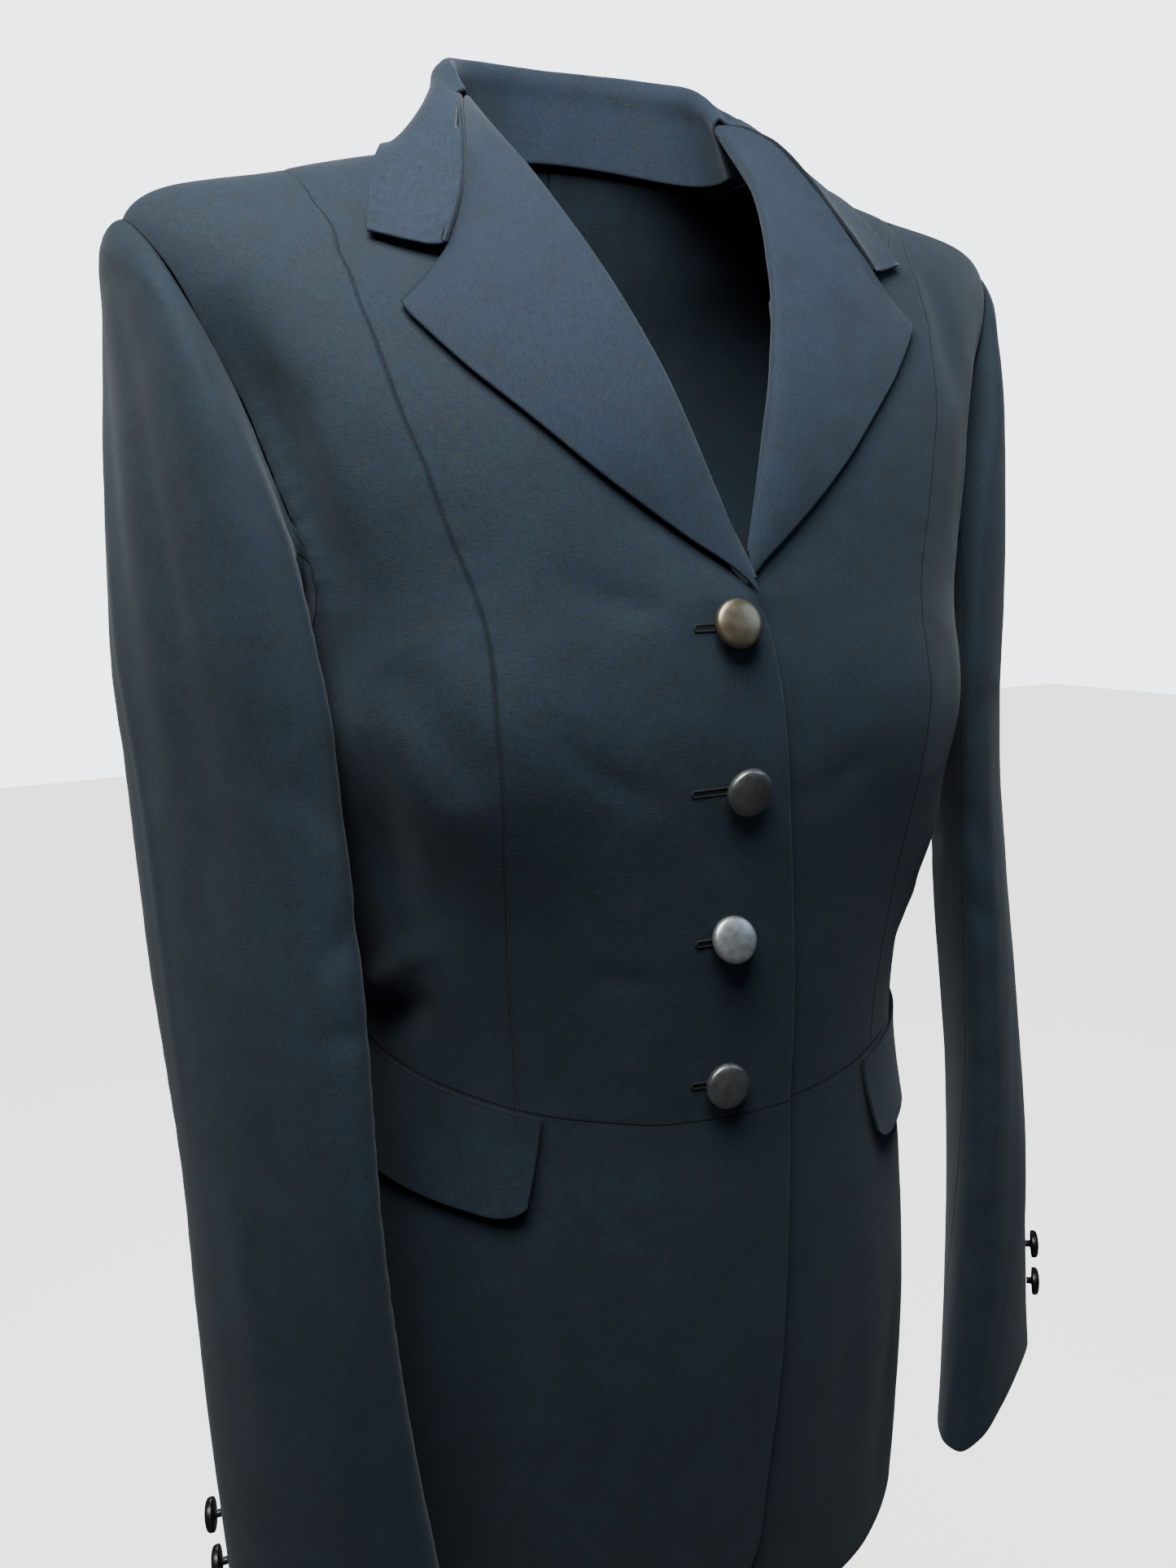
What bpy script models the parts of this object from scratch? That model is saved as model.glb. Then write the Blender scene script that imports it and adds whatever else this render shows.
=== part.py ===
"""A woman's hunt coat, worn shape with no wearer: princess front, waist seam, notched collar, two-piece sleeves.

Metres, +Z up. The wearer faces -Y and the wearer's left is +X. The origin is between the shoulders, level
with the neck point of the shoulder seams, which is where the wearer carries the coat.
"""

import math

import bmesh
import bpy
import mathutils
import numpy as np

# Driving dimensions
CLOTH = 0.0018              # wall of a body or sleeve panel
TURNED_CLOTH = 0.0016       # wall of the lapels, collar and pocket flaps
SEAM_GAP = 0.0004           # clear space between the edges of two panels that are sewn together
SLEEVE_SEAM_GAP = 0.0006    # the same at the seams of a sleeve, which turn tightly
LAYER_GAP = 0.0006          # clear space between one layer of cloth and the next
OVERLAP_RAISE = 0.0032      # the right front stands this far out where it laps the left front
BACK_SQUARENESS = 2.25      # 2 is an ellipse; more is squarer
BUTTON_RADIUS = 0.0102
BUTTON_HEIGHT = 0.0080
CUFF_BUTTON_RADIUS = 0.0074
CUFF_BUTTON_HEIGHT = 0.0072
VENT_OVERLAP = 0.030        # how far the left back skirt laps the right one

# The rings of the body, from hem to neckline. z is the ring's height at the front, side and back.
RINGS = (
    # name, z front, z side, z back, half width, y front, y middle, y back, squareness of the front
    ("hem", -0.735, -0.713, -0.713, 0.161, -0.084, 0.034, 0.151, 2.25),
    ("skirt", -0.660, -0.660, -0.660, 0.161, -0.092, 0.031, 0.149, 2.25),
    ("hip", -0.580, -0.580, -0.580, 0.160, -0.098, 0.025, 0.144, 2.25),
    ("high hip", -0.500, -0.500, -0.500, 0.151, -0.099, 0.012, 0.126, 2.25),
    ("waist", -0.438, -0.412, -0.405, 0.140, -0.099, 0.000, 0.102, 2.25),
    ("midriff", -0.355, -0.345, -0.342, 0.152, -0.109, 0.000, 0.105, 2.25),
    ("bust", -0.270, -0.270, -0.270, 0.1680, -0.1195, 0.000, 0.112, 2.25),
    ("armpit", -0.210, -0.215, -0.210, 0.171, -0.1165, 0.000, 0.115, 2.30),
    ("chest", -0.172, -0.130, -0.145, 0.190, -0.1105, -0.003, 0.112, 2.30),
    ("shoulder", -0.140, -0.050, -0.085, 0.210, -0.1050, -0.006, 0.098, 1.65),
    ("mid shoulder", -0.118, -0.027, -0.042, 0.145, -0.0920, -0.006, 0.080, 1.80),
    ("neckline", -0.100, -0.012, 0.005, 0.079, -0.0800, 0.000, 0.062, 2.10),
)
RING_NAMES = [ring[0] for ring in RINGS]
RING_SIZES = np.array([ring[1:] for ring in RINGS])
HEM, WAIST, BREAK, SHOULDER, NECKLINE = (
    float(RING_NAMES.index(name)) for name in ("hem", "waist", "armpit", "shoulder", "neckline")
)

# Soft forms pressed into the body or standing out of it
FORMS = (
    # name, side (0 both, 1 left, -1 right), angle in degrees, height, spread in degrees, in height, how far out
    ("bust", 0, 38.0, -0.262, 20.0, 0.055, 0.0120),
    ("hollow beside the armhole", 0, 66.0, -0.125, 11.0, 0.045, -0.0075),
    ("hollow under the bust", -1, 54.0, -0.315, 13.0, 0.035, -0.0040),
    ("fullness of the side", 1, 63.0, -0.328, 22.0, 0.028, 0.0060),
    ("fold at the side of the waist", 0, 78.0, -0.392, 18.0, 0.011, -0.0035),
    ("shoulder blade", 0, 138.0, -0.150, 20.0, 0.060, 0.0060),
    ("hollow of the back", 0, 165.0, -0.400, 30.0, 0.060, -0.0050),
)
WAIST_LEAN = 0.045          # the waist seam drops this much per metre towards the wearer's left

# Seams as angle in degrees from centre front, against ring number
PRINCESS_SEAM = (
    # ring number, angle
    (4.0, 38.7), (4.86, 36.7), (5.35, 34.5), (6.0, 31.7), (6.5, 31.6), (7.5, 33.6), (8.08, 34.8),
    (8.33, 36.4), (8.75, 39.8), (9.07, 43.4), (9.48, 50.9), (9.80, 64.0), (9.94, 80.0), (9.97, 90.0),
)
BACK_SEAM = (
    # ring number, angle
    (4.0, 150.0), (5.0, 147.0), (6.0, 142.0), (7.0, 133.0), (7.6, 125.0), (7.85, 119.0),
)
SIDE_SEAM_ANGLE = 97.0
ARMHOLE_CENTRE = 7.85       # the ring number half way up the armhole
ARMHOLE_REACH = 1.15        # how many rings it spans above and below that
ARMHOLE_FRONT = (
    # ring number, widest angle in front of the arm's centre line that the armhole's oval is drawn with
    (6.7, 40.0), (7.3, 33.0), (7.6, 27.0), (7.95, 22.6), (8.2, 22.0), (8.45, 24.4), (8.75, 31.0), (9.0, 37.0),
)
ARMHOLE_BACK_ANGLE = 28.0
PRINCESS_TOP = PRINCESS_SEAM[-1][0]
BACK_SEAM_TOP = BACK_SEAM[-1][0]
ARMHOLE_BOTTOM = ARMHOLE_CENTRE - ARMHOLE_REACH

# The front edge of the right front, which laps the left one, and of the left front below it
FRONT_EDGE = (
    # ring number, right front's edge x, left front's edge x
    (-0.02, -0.104, 0.108), (0.02, -0.084, 0.088), (0.10, -0.054, 0.060), (0.30, -0.019, 0.026),
    (0.50, 0.001, 0.007), (0.71, 0.0112, -0.003), (1.31, 0.0187, -0.010), (2.26, 0.0273, -0.016),
    (3.0, 0.031, -0.019), (3.8, 0.033, -0.022), (4.3, 0.033, -0.022), (5.2, 0.028, -0.022),
    (5.7, 0.023, -0.021), (6.4, 0.018, -0.019), (7.0, 0.012, -0.012),
)

# The fold of the lapels, from the break above the top button to where the collar's crease takes over
FOLD_SHIFT = 0.006          # both folds lie this far towards the wearer's left
ROLL_LINE = (
    # share of its length, half the gap between the folds, y, z, ring number beside it, angle beside it
    (0.0, -0.0030, -0.1195, -0.208, 7.00, 1.0),
    (0.09, 0.0020, -0.1160, -0.188, 7.56, 1.2),
    (0.18, 0.0085, -0.1125, -0.168, 8.10, 2.0),
    (0.27, 0.0150, -0.1082, -0.148, 8.75, 3.2),
    (0.36, 0.0213, -0.1030, -0.128, 9.38, 5.5),
    (0.45, 0.0277, -0.0955, -0.108, 10.15, 10.0),
    (0.54, 0.0345, -0.0858, -0.088, 11.00, 22.5),
    (0.63, 0.0410, -0.0738, -0.068, 11.00, 35.0),
    (0.72, 0.0478, -0.0602, -0.048, 11.00, 48.0),
    (0.82, 0.0540, -0.0440, -0.028, 11.00, 61.0),
    (0.91, 0.0586, -0.0220, -0.008, 11.00, 75.0),
    (1.0, 0.0618, 0.0040, 0.014, 11.00, 90.0),
)
LEAVES_FRONT = 0.54         # the share above which the fold lies above the front's neckline
LAPEL_EDGE = (
    # share of the fold's length, ring number, angle
    (0.0, 6.91, 0.6), (0.10, 7.25, 2.2), (0.22, 7.62, 5.8), (0.36, 8.05, 11.0), (0.50, 8.45, 18.0),
    (0.62, 8.70, 24.4), (0.75, 8.94, 32.0), (0.86, 9.08, 35.8), (0.95, 9.20, 39.2), (1.0, 9.28, 40.8),
)
NOTCH_SHARE = 0.68          # how far out along the top of the lapel the notch lies
LAPEL_TOP = (
    # share of the way from the fold to the corner, ring number, angle
    (0.0, 11.0, 90.0), (0.34, 10.52, 57.0), (0.68, 9.975, 43.6), (1.0, 9.28, 40.8),
)
LAPEL_LIFT = 0.0045         # how far the lapel's middle springs off the front

# The collar, from the gorge seam round to centre back
COLLAR = (
    # station, neckline angle, inset of the foot, crease x, y, z, edge's ring, edge's angle, edge's lift
    (0.00, 90.0, 0.0060, 0.0618, 0.0044, 0.0144, 9.97, 43.6, 0.0034),
    (0.08, 95.0, 0.0045, 0.0628, 0.0115, 0.0225, 9.77, 52.6, 0.0036),
    (0.17, 100.0, 0.0038, 0.0618, 0.0190, 0.0300, 10.02, 58.6, 0.0036),
    (0.26, 106.0, 0.0034, 0.0598, 0.0270, 0.0355, 10.22, 65.5, 0.0036),
    (0.38, 116.0, 0.0032, 0.0552, 0.0365, 0.0402, 10.50, 80.0, 0.0034),
    (0.52, 130.0, 0.0030, 0.0470, 0.0450, 0.0440, 10.66, 104.0, 0.0030),
    (0.68, 147.0, 0.0030, 0.0340, 0.0510, 0.0468, 10.72, 132.0, 0.0028),
    (0.84, 164.0, 0.0030, 0.0175, 0.0560, 0.0488, 10.75, 157.0, 0.0028),
    (1.00, 180.0, 0.0030, 0.0000, 0.0580, 0.0495, 10.76, 180.0, 0.0028),
)

# The wearer's left sleeve from armhole to cuff. The other is its mirror image.
SLEEVE = (
    # length share, centre x, y, z, half length, thickness outwards, heading of the long side, tilt, thickness inwards
    (0.00, 0.1930, -0.002, -0.128, 0.0640, 0.0800, 88.0, 77.0, 0.0800),
    (0.05, 0.1920, 0.003, -0.140, 0.0640, 0.0890, 81.0, 73.0, 0.0740),
    (0.13, 0.1900, -0.002, -0.166, 0.0700, 0.0725, 72.0, 68.0, 0.0520),
    (0.24, 0.1916, -0.009, -0.212, 0.0716, 0.0470, 64.0, 55.0, 0.0216),
    (0.36, 0.1915, -0.017, -0.275, 0.0670, 0.0270, 58.0, 30.0, 0.0125),
    (0.52, 0.1915, -0.030, -0.362, 0.0630, 0.0205, 55.0, 8.0, 0.0175),
    (0.68, 0.1910, -0.042, -0.450, 0.0580, 0.0205, 55.0, 0.0, 0.0185),
    (0.84, 0.1895, -0.0515, -0.548, 0.0545, 0.0215, 48.0, 0.0, 0.0205),
    (1.00, 0.1830, -0.0605, -0.668, 0.0520, 0.0215, 35.0, 8.0, 0.0215),
)
ARMHOLE_BLEND = 0.16        # over this share of its length the sleeve leaves the armhole's own outline
SLEEVE_SEAMS = (
    # length share, turn of the elbow seam, turn of the front seam, in degrees about the sleeve
    (0.0, 30.0, 205.0), (0.3, 26.0, 200.0), (0.6, 22.0, 196.0), (0.85, 6.0, 194.0), (1.0, 6.0, 194.0),
)
CUFF_BUTTONS = {1: (72.0, 0.898, 0.932), -1: (12.0, 0.930, 0.959)}  # turn and two length shares, left and right
SLEEVE_TWIST = {1: 52.0, -1: 0.0}  # how far each sleeve hangs turned at the cuff, in degrees
CUFF_RISE = 0.026           # how much higher the cuff's edge is in the middle of its outer side
SHOULDER_SEAM_HALF_GAP = 0.12  # in degrees
COLLAR_STEPS = (0.0, 0.10, 0.24, 0.42, 0.64, 0.82, 1.0)
LAPEL_STEPS = (0.0, 0.05, 0.14, 0.30, 0.50, 0.68, 0.86, 1.0)
FOLD_ROOM = 0.0064          # how far back from the lapel's fold the front's own edge stops
COLLAR_FOLD = 0.0022        # half the thickness of the collar at its crease

FRONT_BUTTONS = ((-0.220, -0.003), (-0.2855, 0.000), (-0.352, -0.0034), (-0.420, -0.0038))  # z, x
FLAP_ANGLES = (33.3, 92.0)  # from front edge to back edge of a pocket flap
FLAP_DEPTH = (0.047, 0.060)  # at the front edge and at the back edge
FLAP_LIFT = 0.0040          # how far the flap's lower edge stands off the skirt

NAVY = (0.020, 0.026, 0.038)
BUTTON_BLACK = (0.030, 0.034, 0.040)


def clear_scene():
    for obj in list(bpy.data.objects):
        bpy.data.objects.remove(obj, do_unlink=True)


def material(name, colour, roughness):
    made = bpy.data.materials.new(name)
    made.use_nodes = True
    shader = made.node_tree.nodes["Principled BSDF"]
    shader.inputs["Base Color"].default_value = (*colour, 1.0)
    shader.inputs["Roughness"].default_value = roughness
    shader.inputs["Metallic"].default_value = 0.0
    return made


def smooth_table(table, at, column=1):
    """A column of a short table, read smoothly against its first column."""
    keys = np.array([row[0] for row in table], float)
    values = np.array([row[column] for row in table], float)
    slopes = np.gradient(values, keys)
    rise = np.diff(values) / np.diff(keys)
    for i, step in enumerate(rise):     # keeps the curve from passing over a flat stretch or a peak
        if step == 0.0:
            slopes[i] = slopes[i + 1] = 0.0
        else:
            slopes[i] = np.clip(slopes[i] / step, 0.0, 3.0) * step
            slopes[i + 1] = np.clip(slopes[i + 1] / step, 0.0, 3.0) * step
    at = min(max(at, keys[0]), keys[-1])
    i = min(int(np.searchsorted(keys, at, side="right")) - 1, len(keys) - 2)
    width = keys[i + 1] - keys[i]
    t = (at - keys[i]) / width
    return float(
        (2 * t**3 - 3 * t**2 + 1) * values[i] + (t**3 - 2 * t**2 + t) * width * slopes[i]
        + (3 * t**2 - 2 * t**3) * values[i + 1] + (t**3 - t**2) * width * slopes[i + 1]
    )


def ring_sizes(ring):
    """The sizes of the ring at any ring number, through the table's rings on a smooth curve."""
    last = len(RINGS) - 1
    ring = min(max(ring, 0.0), float(last))
    i = min(int(ring), last - 1)
    t = ring - i
    p0, p1, p2, p3 = (RING_SIZES[min(max(k, 0), last)] for k in (i - 1, i, i + 1, i + 2))
    return 0.5 * (
        2 * p1 + (p2 - p0) * t + (2 * p0 - 5 * p1 + 4 * p2 - p3) * t**2 + (3 * p1 - p0 - 3 * p2 + p3) * t**3
    )


def skirt_wave(angle, z):
    """Soft flutes at the side and back of the skirt, which deepen towards the hem."""
    depth = 0.0042 * max(0.0, min(1.0, (-0.50 - z) / 0.24)) ** 1.4
    spread = math.exp(-(((abs(angle) - 128.0) / 34.0) ** 2))
    return depth * spread * math.sin(math.radians(abs(angle) * 9.0 + 40.0))


def body_point(angle, ring):
    """A point of the cloth's outer face. Angle is in degrees from centre front, positive to the wearer's left."""
    z_front, z_side, z_back, half_width, y_front, y_middle, y_back, squareness = ring_sizes(ring)
    turn = math.radians(angle)
    sine, cosine = math.sin(turn), math.cos(turn)
    if cosine < 0:
        squareness = BACK_SQUARENESS
    across = math.copysign(abs(sine) ** (2 / squareness), sine)
    along = abs(cosine) ** (2 / squareness)
    if cosine > 0:
        y = y_middle + (y_front - y_middle) * along
        z = z_front + (z_side - z_front) * sine**2
    else:
        y = y_middle + (y_back - y_middle) * along
        z = z_back + (z_side - z_back) * sine**2
    out = skirt_wave(angle, z)
    for _, side, form_angle, height, angle_spread, height_spread, reach in FORMS:
        if side * angle < 0:
            continue
        near = ((abs(angle) - form_angle) / angle_spread) ** 2 + ((z - height) / height_spread) ** 2
        out += reach * math.exp(-near)
    x = half_width * across + out * sine
    lean = WAIST_LEAN * math.exp(-(((ring - WAIST) / 1.1) ** 2))
    return np.array([x, y - out * cosine, z - lean * x])


def body_normal(angle, ring):
    """The outward direction at a point of the body."""
    ring = min(max(ring, 0.02), NECKLINE - 0.02)
    step_angle, step_ring = 1.5, 0.04
    around = body_point(angle + step_angle, ring) - body_point(angle - step_angle, ring)
    up = body_point(angle, ring + step_ring) - body_point(angle, ring - step_ring)
    normal = np.cross(around, up)
    return normal / np.linalg.norm(normal)


def on_body(angle, ring, out=0.0):
    return body_point(angle, ring) + out * body_normal(angle, ring)


def angle_at_x(x, ring):
    """The angle at which the front of a ring has this x."""
    low, high = -89.0, 89.0
    for _ in range(40):
        middle = (low + high) / 2
        if body_point(middle, ring)[0] < x:
            low = middle
        else:
            high = middle
    return (low + high) / 2


def armhole_angle(ring, behind):
    """Where the armhole crosses a ring, in front of the arm or behind it."""
    share = max(0.0, 1.0 - ((ring - ARMHOLE_CENTRE) / ARMHOLE_REACH) ** 2) ** 0.5
    if behind:
        return 90.0 + ARMHOLE_BACK_ANGLE * share
    return 90.0 - smooth_table(ARMHOLE_FRONT, ring) * share


def rows_through(*stretches):
    """Ring numbers from (start, end, count) stretches, each crowded towards neither end."""
    rings = []
    for start, end, count in stretches:
        rings += list(np.linspace(start, end, count, endpoint=False))
    return rings + [stretches[-1][1]]


def armhole_rows(first, last):
    """Ring numbers at every 15 degrees round the armhole's own oval."""
    return [ARMHOLE_CENTRE + ARMHOLE_REACH * math.sin(math.radians(turn)) for turn in range(first, last + 1, 15)]


def bodice_rows(start, end):
    """The rows that every panel above the waist shares, so that its seams meet its neighbours' point for point."""
    rows = rows_through((WAIST + 0.006, 6.5, 7))[:-1] + [6.5] + armhole_rows(-90, 90)
    rows += [BREAK, BACK_SEAM_TOP - 0.04, 9.2, 9.45, 9.65, 9.8, 9.9, PRINCESS_TOP, 10.2, 10.45, 10.7, NECKLINE]
    return [ring for ring in sorted(rows) if start <= ring <= end and ring != ARMHOLE_CENTRE]


def cloth(name, points, thickness, outside=1):
    """A closed wall of cloth: a grid laid through rows of points on its outer face, with Solidify behind it."""
    rows, columns = len(points), len(points[0])
    bm = bmesh.new()
    made = bmesh.ops.create_grid(bm, x_segments=columns - 1, y_segments=rows - 1, size=0.5)
    for vert in made["verts"]:
        column = round((vert.co.x + 0.5) * (columns - 1))
        row = round((vert.co.y + 0.5) * (rows - 1))
        vert.co = points[row][column]
    if outside < 0:
        bmesh.ops.reverse_faces(bm, faces=bm.faces[:])
    mesh = bpy.data.meshes.new(name)
    bm.to_mesh(mesh)
    bm.free()
    mesh.shade_smooth()
    obj = bpy.data.objects.new(name, mesh)
    obj.data.materials.append(material(f"{name} wool", NAVY, 0.85))
    shell = obj.modifiers.new("cloth wall", "SOLIDIFY")
    shell.thickness = thickness
    shell.offset = -1.0
    return obj


def set_in(points, distance):
    """Draws the left and right edges of a grid in by a distance, square to each edge, for the seam's gap."""
    for end, step in ((0, 1), (-1, -1)):
        edge = [row[end].copy() for row in points]
        for i, row in enumerate(points):
            along = edge[min(i + 1, len(edge) - 1)] - edge[max(i - 1, 0)]
            along /= np.linalg.norm(along)
            inwards = row[end + step] - edge[i]
            square = inwards - along * (inwards @ along)
            row[end] = edge[i] + square * min(distance / np.linalg.norm(square), 0.45)
    return points


def panel(side, rings, start, end, columns, out=None):
    """A body panel's grid. start and end give the edges' angles at a ring; side is 1 for the wearer's left."""
    grid = []
    for ring in rings:
        first, last = start(ring), end(ring)
        row = []
        for i in range(columns + 1):
            angle = first + (last - first) * i / columns
            raised = out(angle, ring) if out else 0.0
            row.append(on_body(side * angle, ring, raised))
        grid.append(row)
    return set_in(grid, SEAM_GAP)


def roll_point(side, share):
    """The fold of the lapel, on the wearer's left for side 1 and right for side -1."""
    half_gap, y, z = (smooth_table(ROLL_LINE, share, column) for column in (1, 2, 3))
    return np.array([side * half_gap + fold_shift(share), y, z])


def fold_shift(share):
    """Both folds lie a little towards the wearer's left, less so at the neck."""
    return FOLD_SHIFT * (1.0 - 0.5 * max(0.0, (share - LEAVES_FRONT) / (1 - LEAVES_FRONT)))


def fold_share(ring):
    """How far up the fold this ring meets it."""
    low, high = 0.0, LEAVES_FRONT
    for _ in range(30):
        middle = (low + high) / 2
        if smooth_table(ROLL_LINE, middle, 4) < ring:
            low = middle
        else:
            high = middle
    return (low + high) / 2


def front_edge_x(side, ring):
    return smooth_table(FRONT_EDGE, ring, 2 if side > 0 else 1)


def overlap_raise(side, angle, ring):
    """The right front stands out where it lies on the left one, up to the break of the lapels."""
    if side > 0:
        return 0.0
    x = body_point(side * angle, ring)[0]
    lapped = min(1.0, max(0.0, (x + 0.062) / 0.034))
    return OVERLAP_RAISE * lapped * lapped * (3 - 2 * lapped) * min(1.0, max(0.0, 1.0 - (ring - BREAK) / 0.8))


def front_surface(side, angle, ring, out=0.0):
    """A point on a front's outer face, or off it. Above the break the front rises to the fold of its lapel."""
    point = on_body(side * angle, ring, overlap_raise(side, angle, ring) + out)
    if ring <= BREAK:
        return point
    share = fold_share(ring)
    inner = smooth_table(ROLL_LINE, share, 5)
    shift = roll_point(side, share) - on_body(side * inner, ring, TURNED_CLOTH + LAYER_GAP)
    across = max(0.0, (angle - inner) / (front_seam(ring) - inner))
    return point + shift * max(0.0, 1 - across) ** 2


def front_seam(ring):
    """The angle at which a front ends, at the princess seam and then at the shoulder seam."""
    return smooth_table(PRINCESS_SEAM, ring) if ring < PRINCESS_TOP else 90.0 - SHOULDER_SEAM_HALF_GAP


def front_row(side, ring, columns):
    """One row of a front, from its edge or its fold to the seam or armhole."""
    if ring <= BREAK:
        inner = side * angle_at_x(front_edge_x(side, ring), ring)
    else:
        inner = smooth_table(ROLL_LINE, fold_share(ring), 5)
    outer = front_seam(ring)
    shares = [(i / columns) ** 1.15 for i in range(columns + 1)]
    return [front_surface(side, inner + (outer - inner) * share, ring) for share in shares]


def front(side):
    """The centre front: from the waist seam up to the neckline and shoulder seam."""
    grid = []
    for ring in bodice_rows(WAIST, NECKLINE):
        row = front_row(side, ring, 7)
        if ring > BREAK:        # leaves room for the lapel to turn round the fold
            drawn = min(1.0, (ring - BREAK) / 0.3) * FOLD_ROOM
            inwards = row[1] - row[0]
            row[0] = row[0] + inwards * min(drawn / np.linalg.norm(inwards), 0.6)
        grid.append(row)
    return set_in(grid, SEAM_GAP)


def side_front(side):
    """The side front: from the princess seam to the side seam, armhole and shoulder seam."""
    return panel(
        side, bodice_rows(WAIST, PRINCESS_TOP - 0.02),
        start=lambda ring: smooth_table(PRINCESS_SEAM, ring),
        end=lambda ring: (
            SIDE_SEAM_ANGLE if ring < ARMHOLE_BOTTOM
            else armhole_angle(ring, False) if ring < SHOULDER
            else 90.0 - SHOULDER_SEAM_HALF_GAP
        ),
        columns=6,
    )


def side_back(side):
    """The side back: from the side seam to the back seam, ending in a point at the armhole."""
    return panel(
        side, bodice_rows(WAIST, BACK_SEAM_TOP - 0.03),
        start=lambda ring: SIDE_SEAM_ANGLE if ring < ARMHOLE_BOTTOM else armhole_angle(ring, True),
        end=lambda ring: smooth_table(BACK_SEAM, ring),
        columns=5,
    )


def back(side):
    """The back: from the centre back seam to the back seam, armhole and shoulder seam."""
    return panel(
        side, bodice_rows(WAIST, NECKLINE),
        start=lambda ring: (
            smooth_table(BACK_SEAM, ring) if ring < BACK_SEAM_TOP
            else armhole_angle(ring, True) if ring < SHOULDER
            else 90.0 + SHOULDER_SEAM_HALF_GAP
        ),
        end=lambda ring: 180.0,
        columns=7,
    )


def front_skirt(side):
    """The front skirt: below the waist seam, from the rounded front edge to the side seam."""
    rings = [0.0, 0.04, 0.10, 0.20, 0.36, 0.60] + skirt_rows(1.0)
    grid = []
    for ring in rings:
        inner = side * angle_at_x(front_edge_x(side, ring), ring)
        row = []
        for i in range(12):
            angle = inner + (SIDE_SEAM_ANGLE - inner) * (i / 11) ** 1.1
            row.append(on_body(side * angle, ring, overlap_raise(side, angle, ring)))
        grid.append(row)
    return set_in(grid, SEAM_GAP)


def skirt_rows(start):
    """The rows that the skirt panels share."""
    return [ring for ring in (0.0, 0.36, 0.6, 1.0, 1.5, 2.0, 2.4, 2.7, 3.0, 3.5, WAIST - 0.006) if ring >= start]


def back_skirt(side):
    """The back skirt: from the side seam to the centre vent, where the left laps the right."""
    lap = math.degrees(VENT_OVERLAP / 0.15)

    def vent_edge(ring):
        """Below the top of the vent the left skirt runs on past the centre, and the right one under it."""
        opened = min(1.0, max(0.0, (2.9 - ring) / 0.3))
        return 180.0 + (lap * 0.5 if side > 0 else lap * 0.35) * opened

    def vent_raise(angle, ring):
        """The left skirt lies outside the right one."""
        if side < 0:
            return 0.0
        near = min(1.0, max(0.0, (angle - 166.0) / 9.0))
        opened = min(1.0, max(0.0, (3.3 - ring) / 0.5))
        return OVERLAP_RAISE * near * near * (3 - 2 * near) * opened

    return panel(side, skirt_rows(0.0), lambda ring: SIDE_SEAM_ANGLE, vent_edge, 12, vent_raise)


def top_bend(t):
    """How far the top of the lapel strays from a straight way between its two ends, as ring and angle."""
    first, last = LAPEL_TOP[0], LAPEL_TOP[-1]
    return [smooth_table(LAPEL_TOP, t, i) - (first[i] + (last[i] - first[i]) * t) for i in (1, 2)]


def lapel_row(side, share):
    """One section of the lapel's outer face, from the fold to its edge, springing a little off the front."""
    fold_ring, fold_angle = smooth_table(ROLL_LINE, share, 4), smooth_table(ROLL_LINE, share, 5)
    edge_ring, edge_angle = smooth_table(LAPEL_EDGE, share, 1), smooth_table(LAPEL_EDGE, share, 2)
    spring = LAPEL_LIFT * min(1.0, share * 3)

    def lying(t):
        ring, angle = fold_ring + (edge_ring - fold_ring) * t, fold_angle + (edge_angle - fold_angle) * t
        bend_ring, bend_angle = top_bend(t)
        ring, angle = ring + bend_ring * share**4, angle + bend_angle * share**4
        lift = spring * math.sin(math.pi * min(1.0, 0.12 + t * 0.80)) * t**0.3
        return front_surface(side, angle, ring, TURNED_CLOTH + LAYER_GAP + lift)

    under = body_normal(side * fold_angle, fold_ring)
    raised = under * overlap_raise(side, fold_angle, fold_ring)
    return lambda t: lying(t) + (roll_point(side, share) + raised - lying(0.0)) * (1 - t) ** 2


def lapel_grid(side):
    """The lapel: from inside the fold, round it, and back over the front to the lapel's edge."""
    shares = [0.03, 0.08, 0.14, 0.21, 0.29, 0.37, 0.46, 0.55, 0.64, 0.73, 0.82, 0.90, 0.955, 1.0]
    grid = []
    for share in shares[1 if side > 0 else 0:]:
        at = lapel_row(side, share)
        row = [at(t) for t in LAPEL_STEPS]
        under = body_normal(side * smooth_table(ROLL_LINE, share, 5), smooth_table(ROLL_LINE, share, 4))
        grid.append(turned_in(under, row, min(1.0, max(0.08, (share - 0.14) / 0.16))))
    return draw_in_end(grid, SEAM_GAP)


def turned_in(under, row, wrap):
    """Carries a row of the lapel round the fold to a short strip on the wearer's side of the front."""
    outwards = row[0] - row[2]
    outwards /= np.linalg.norm(outwards)
    turn = TURNED_CLOTH + CLOTH / 2 + LAYER_GAP
    tip = row[0] - under * turn * (0.35 + 0.65 * wrap)
    corner = row[0] - under * turn * (0.60 + 1.75 * wrap) - outwards * turn * 0.6 * wrap
    inside = row[0] - under * turn * (0.80 + 2.15 * wrap) - outwards * 0.0075 * wrap
    first = row[0] - outwards * turn * 0.9
    return [inside, corner, tip, first] + row[1:]


def draw_in_end(grid, distance):
    """Draws the last row of a grid back by a distance, for the gap of the seam that it ends in."""
    for i, point in enumerate(grid[-1]):
        back = grid[-2][i] - point
        grid[-1][i] = point + back * min(distance / np.linalg.norm(back), 0.4)
    return grid


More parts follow.
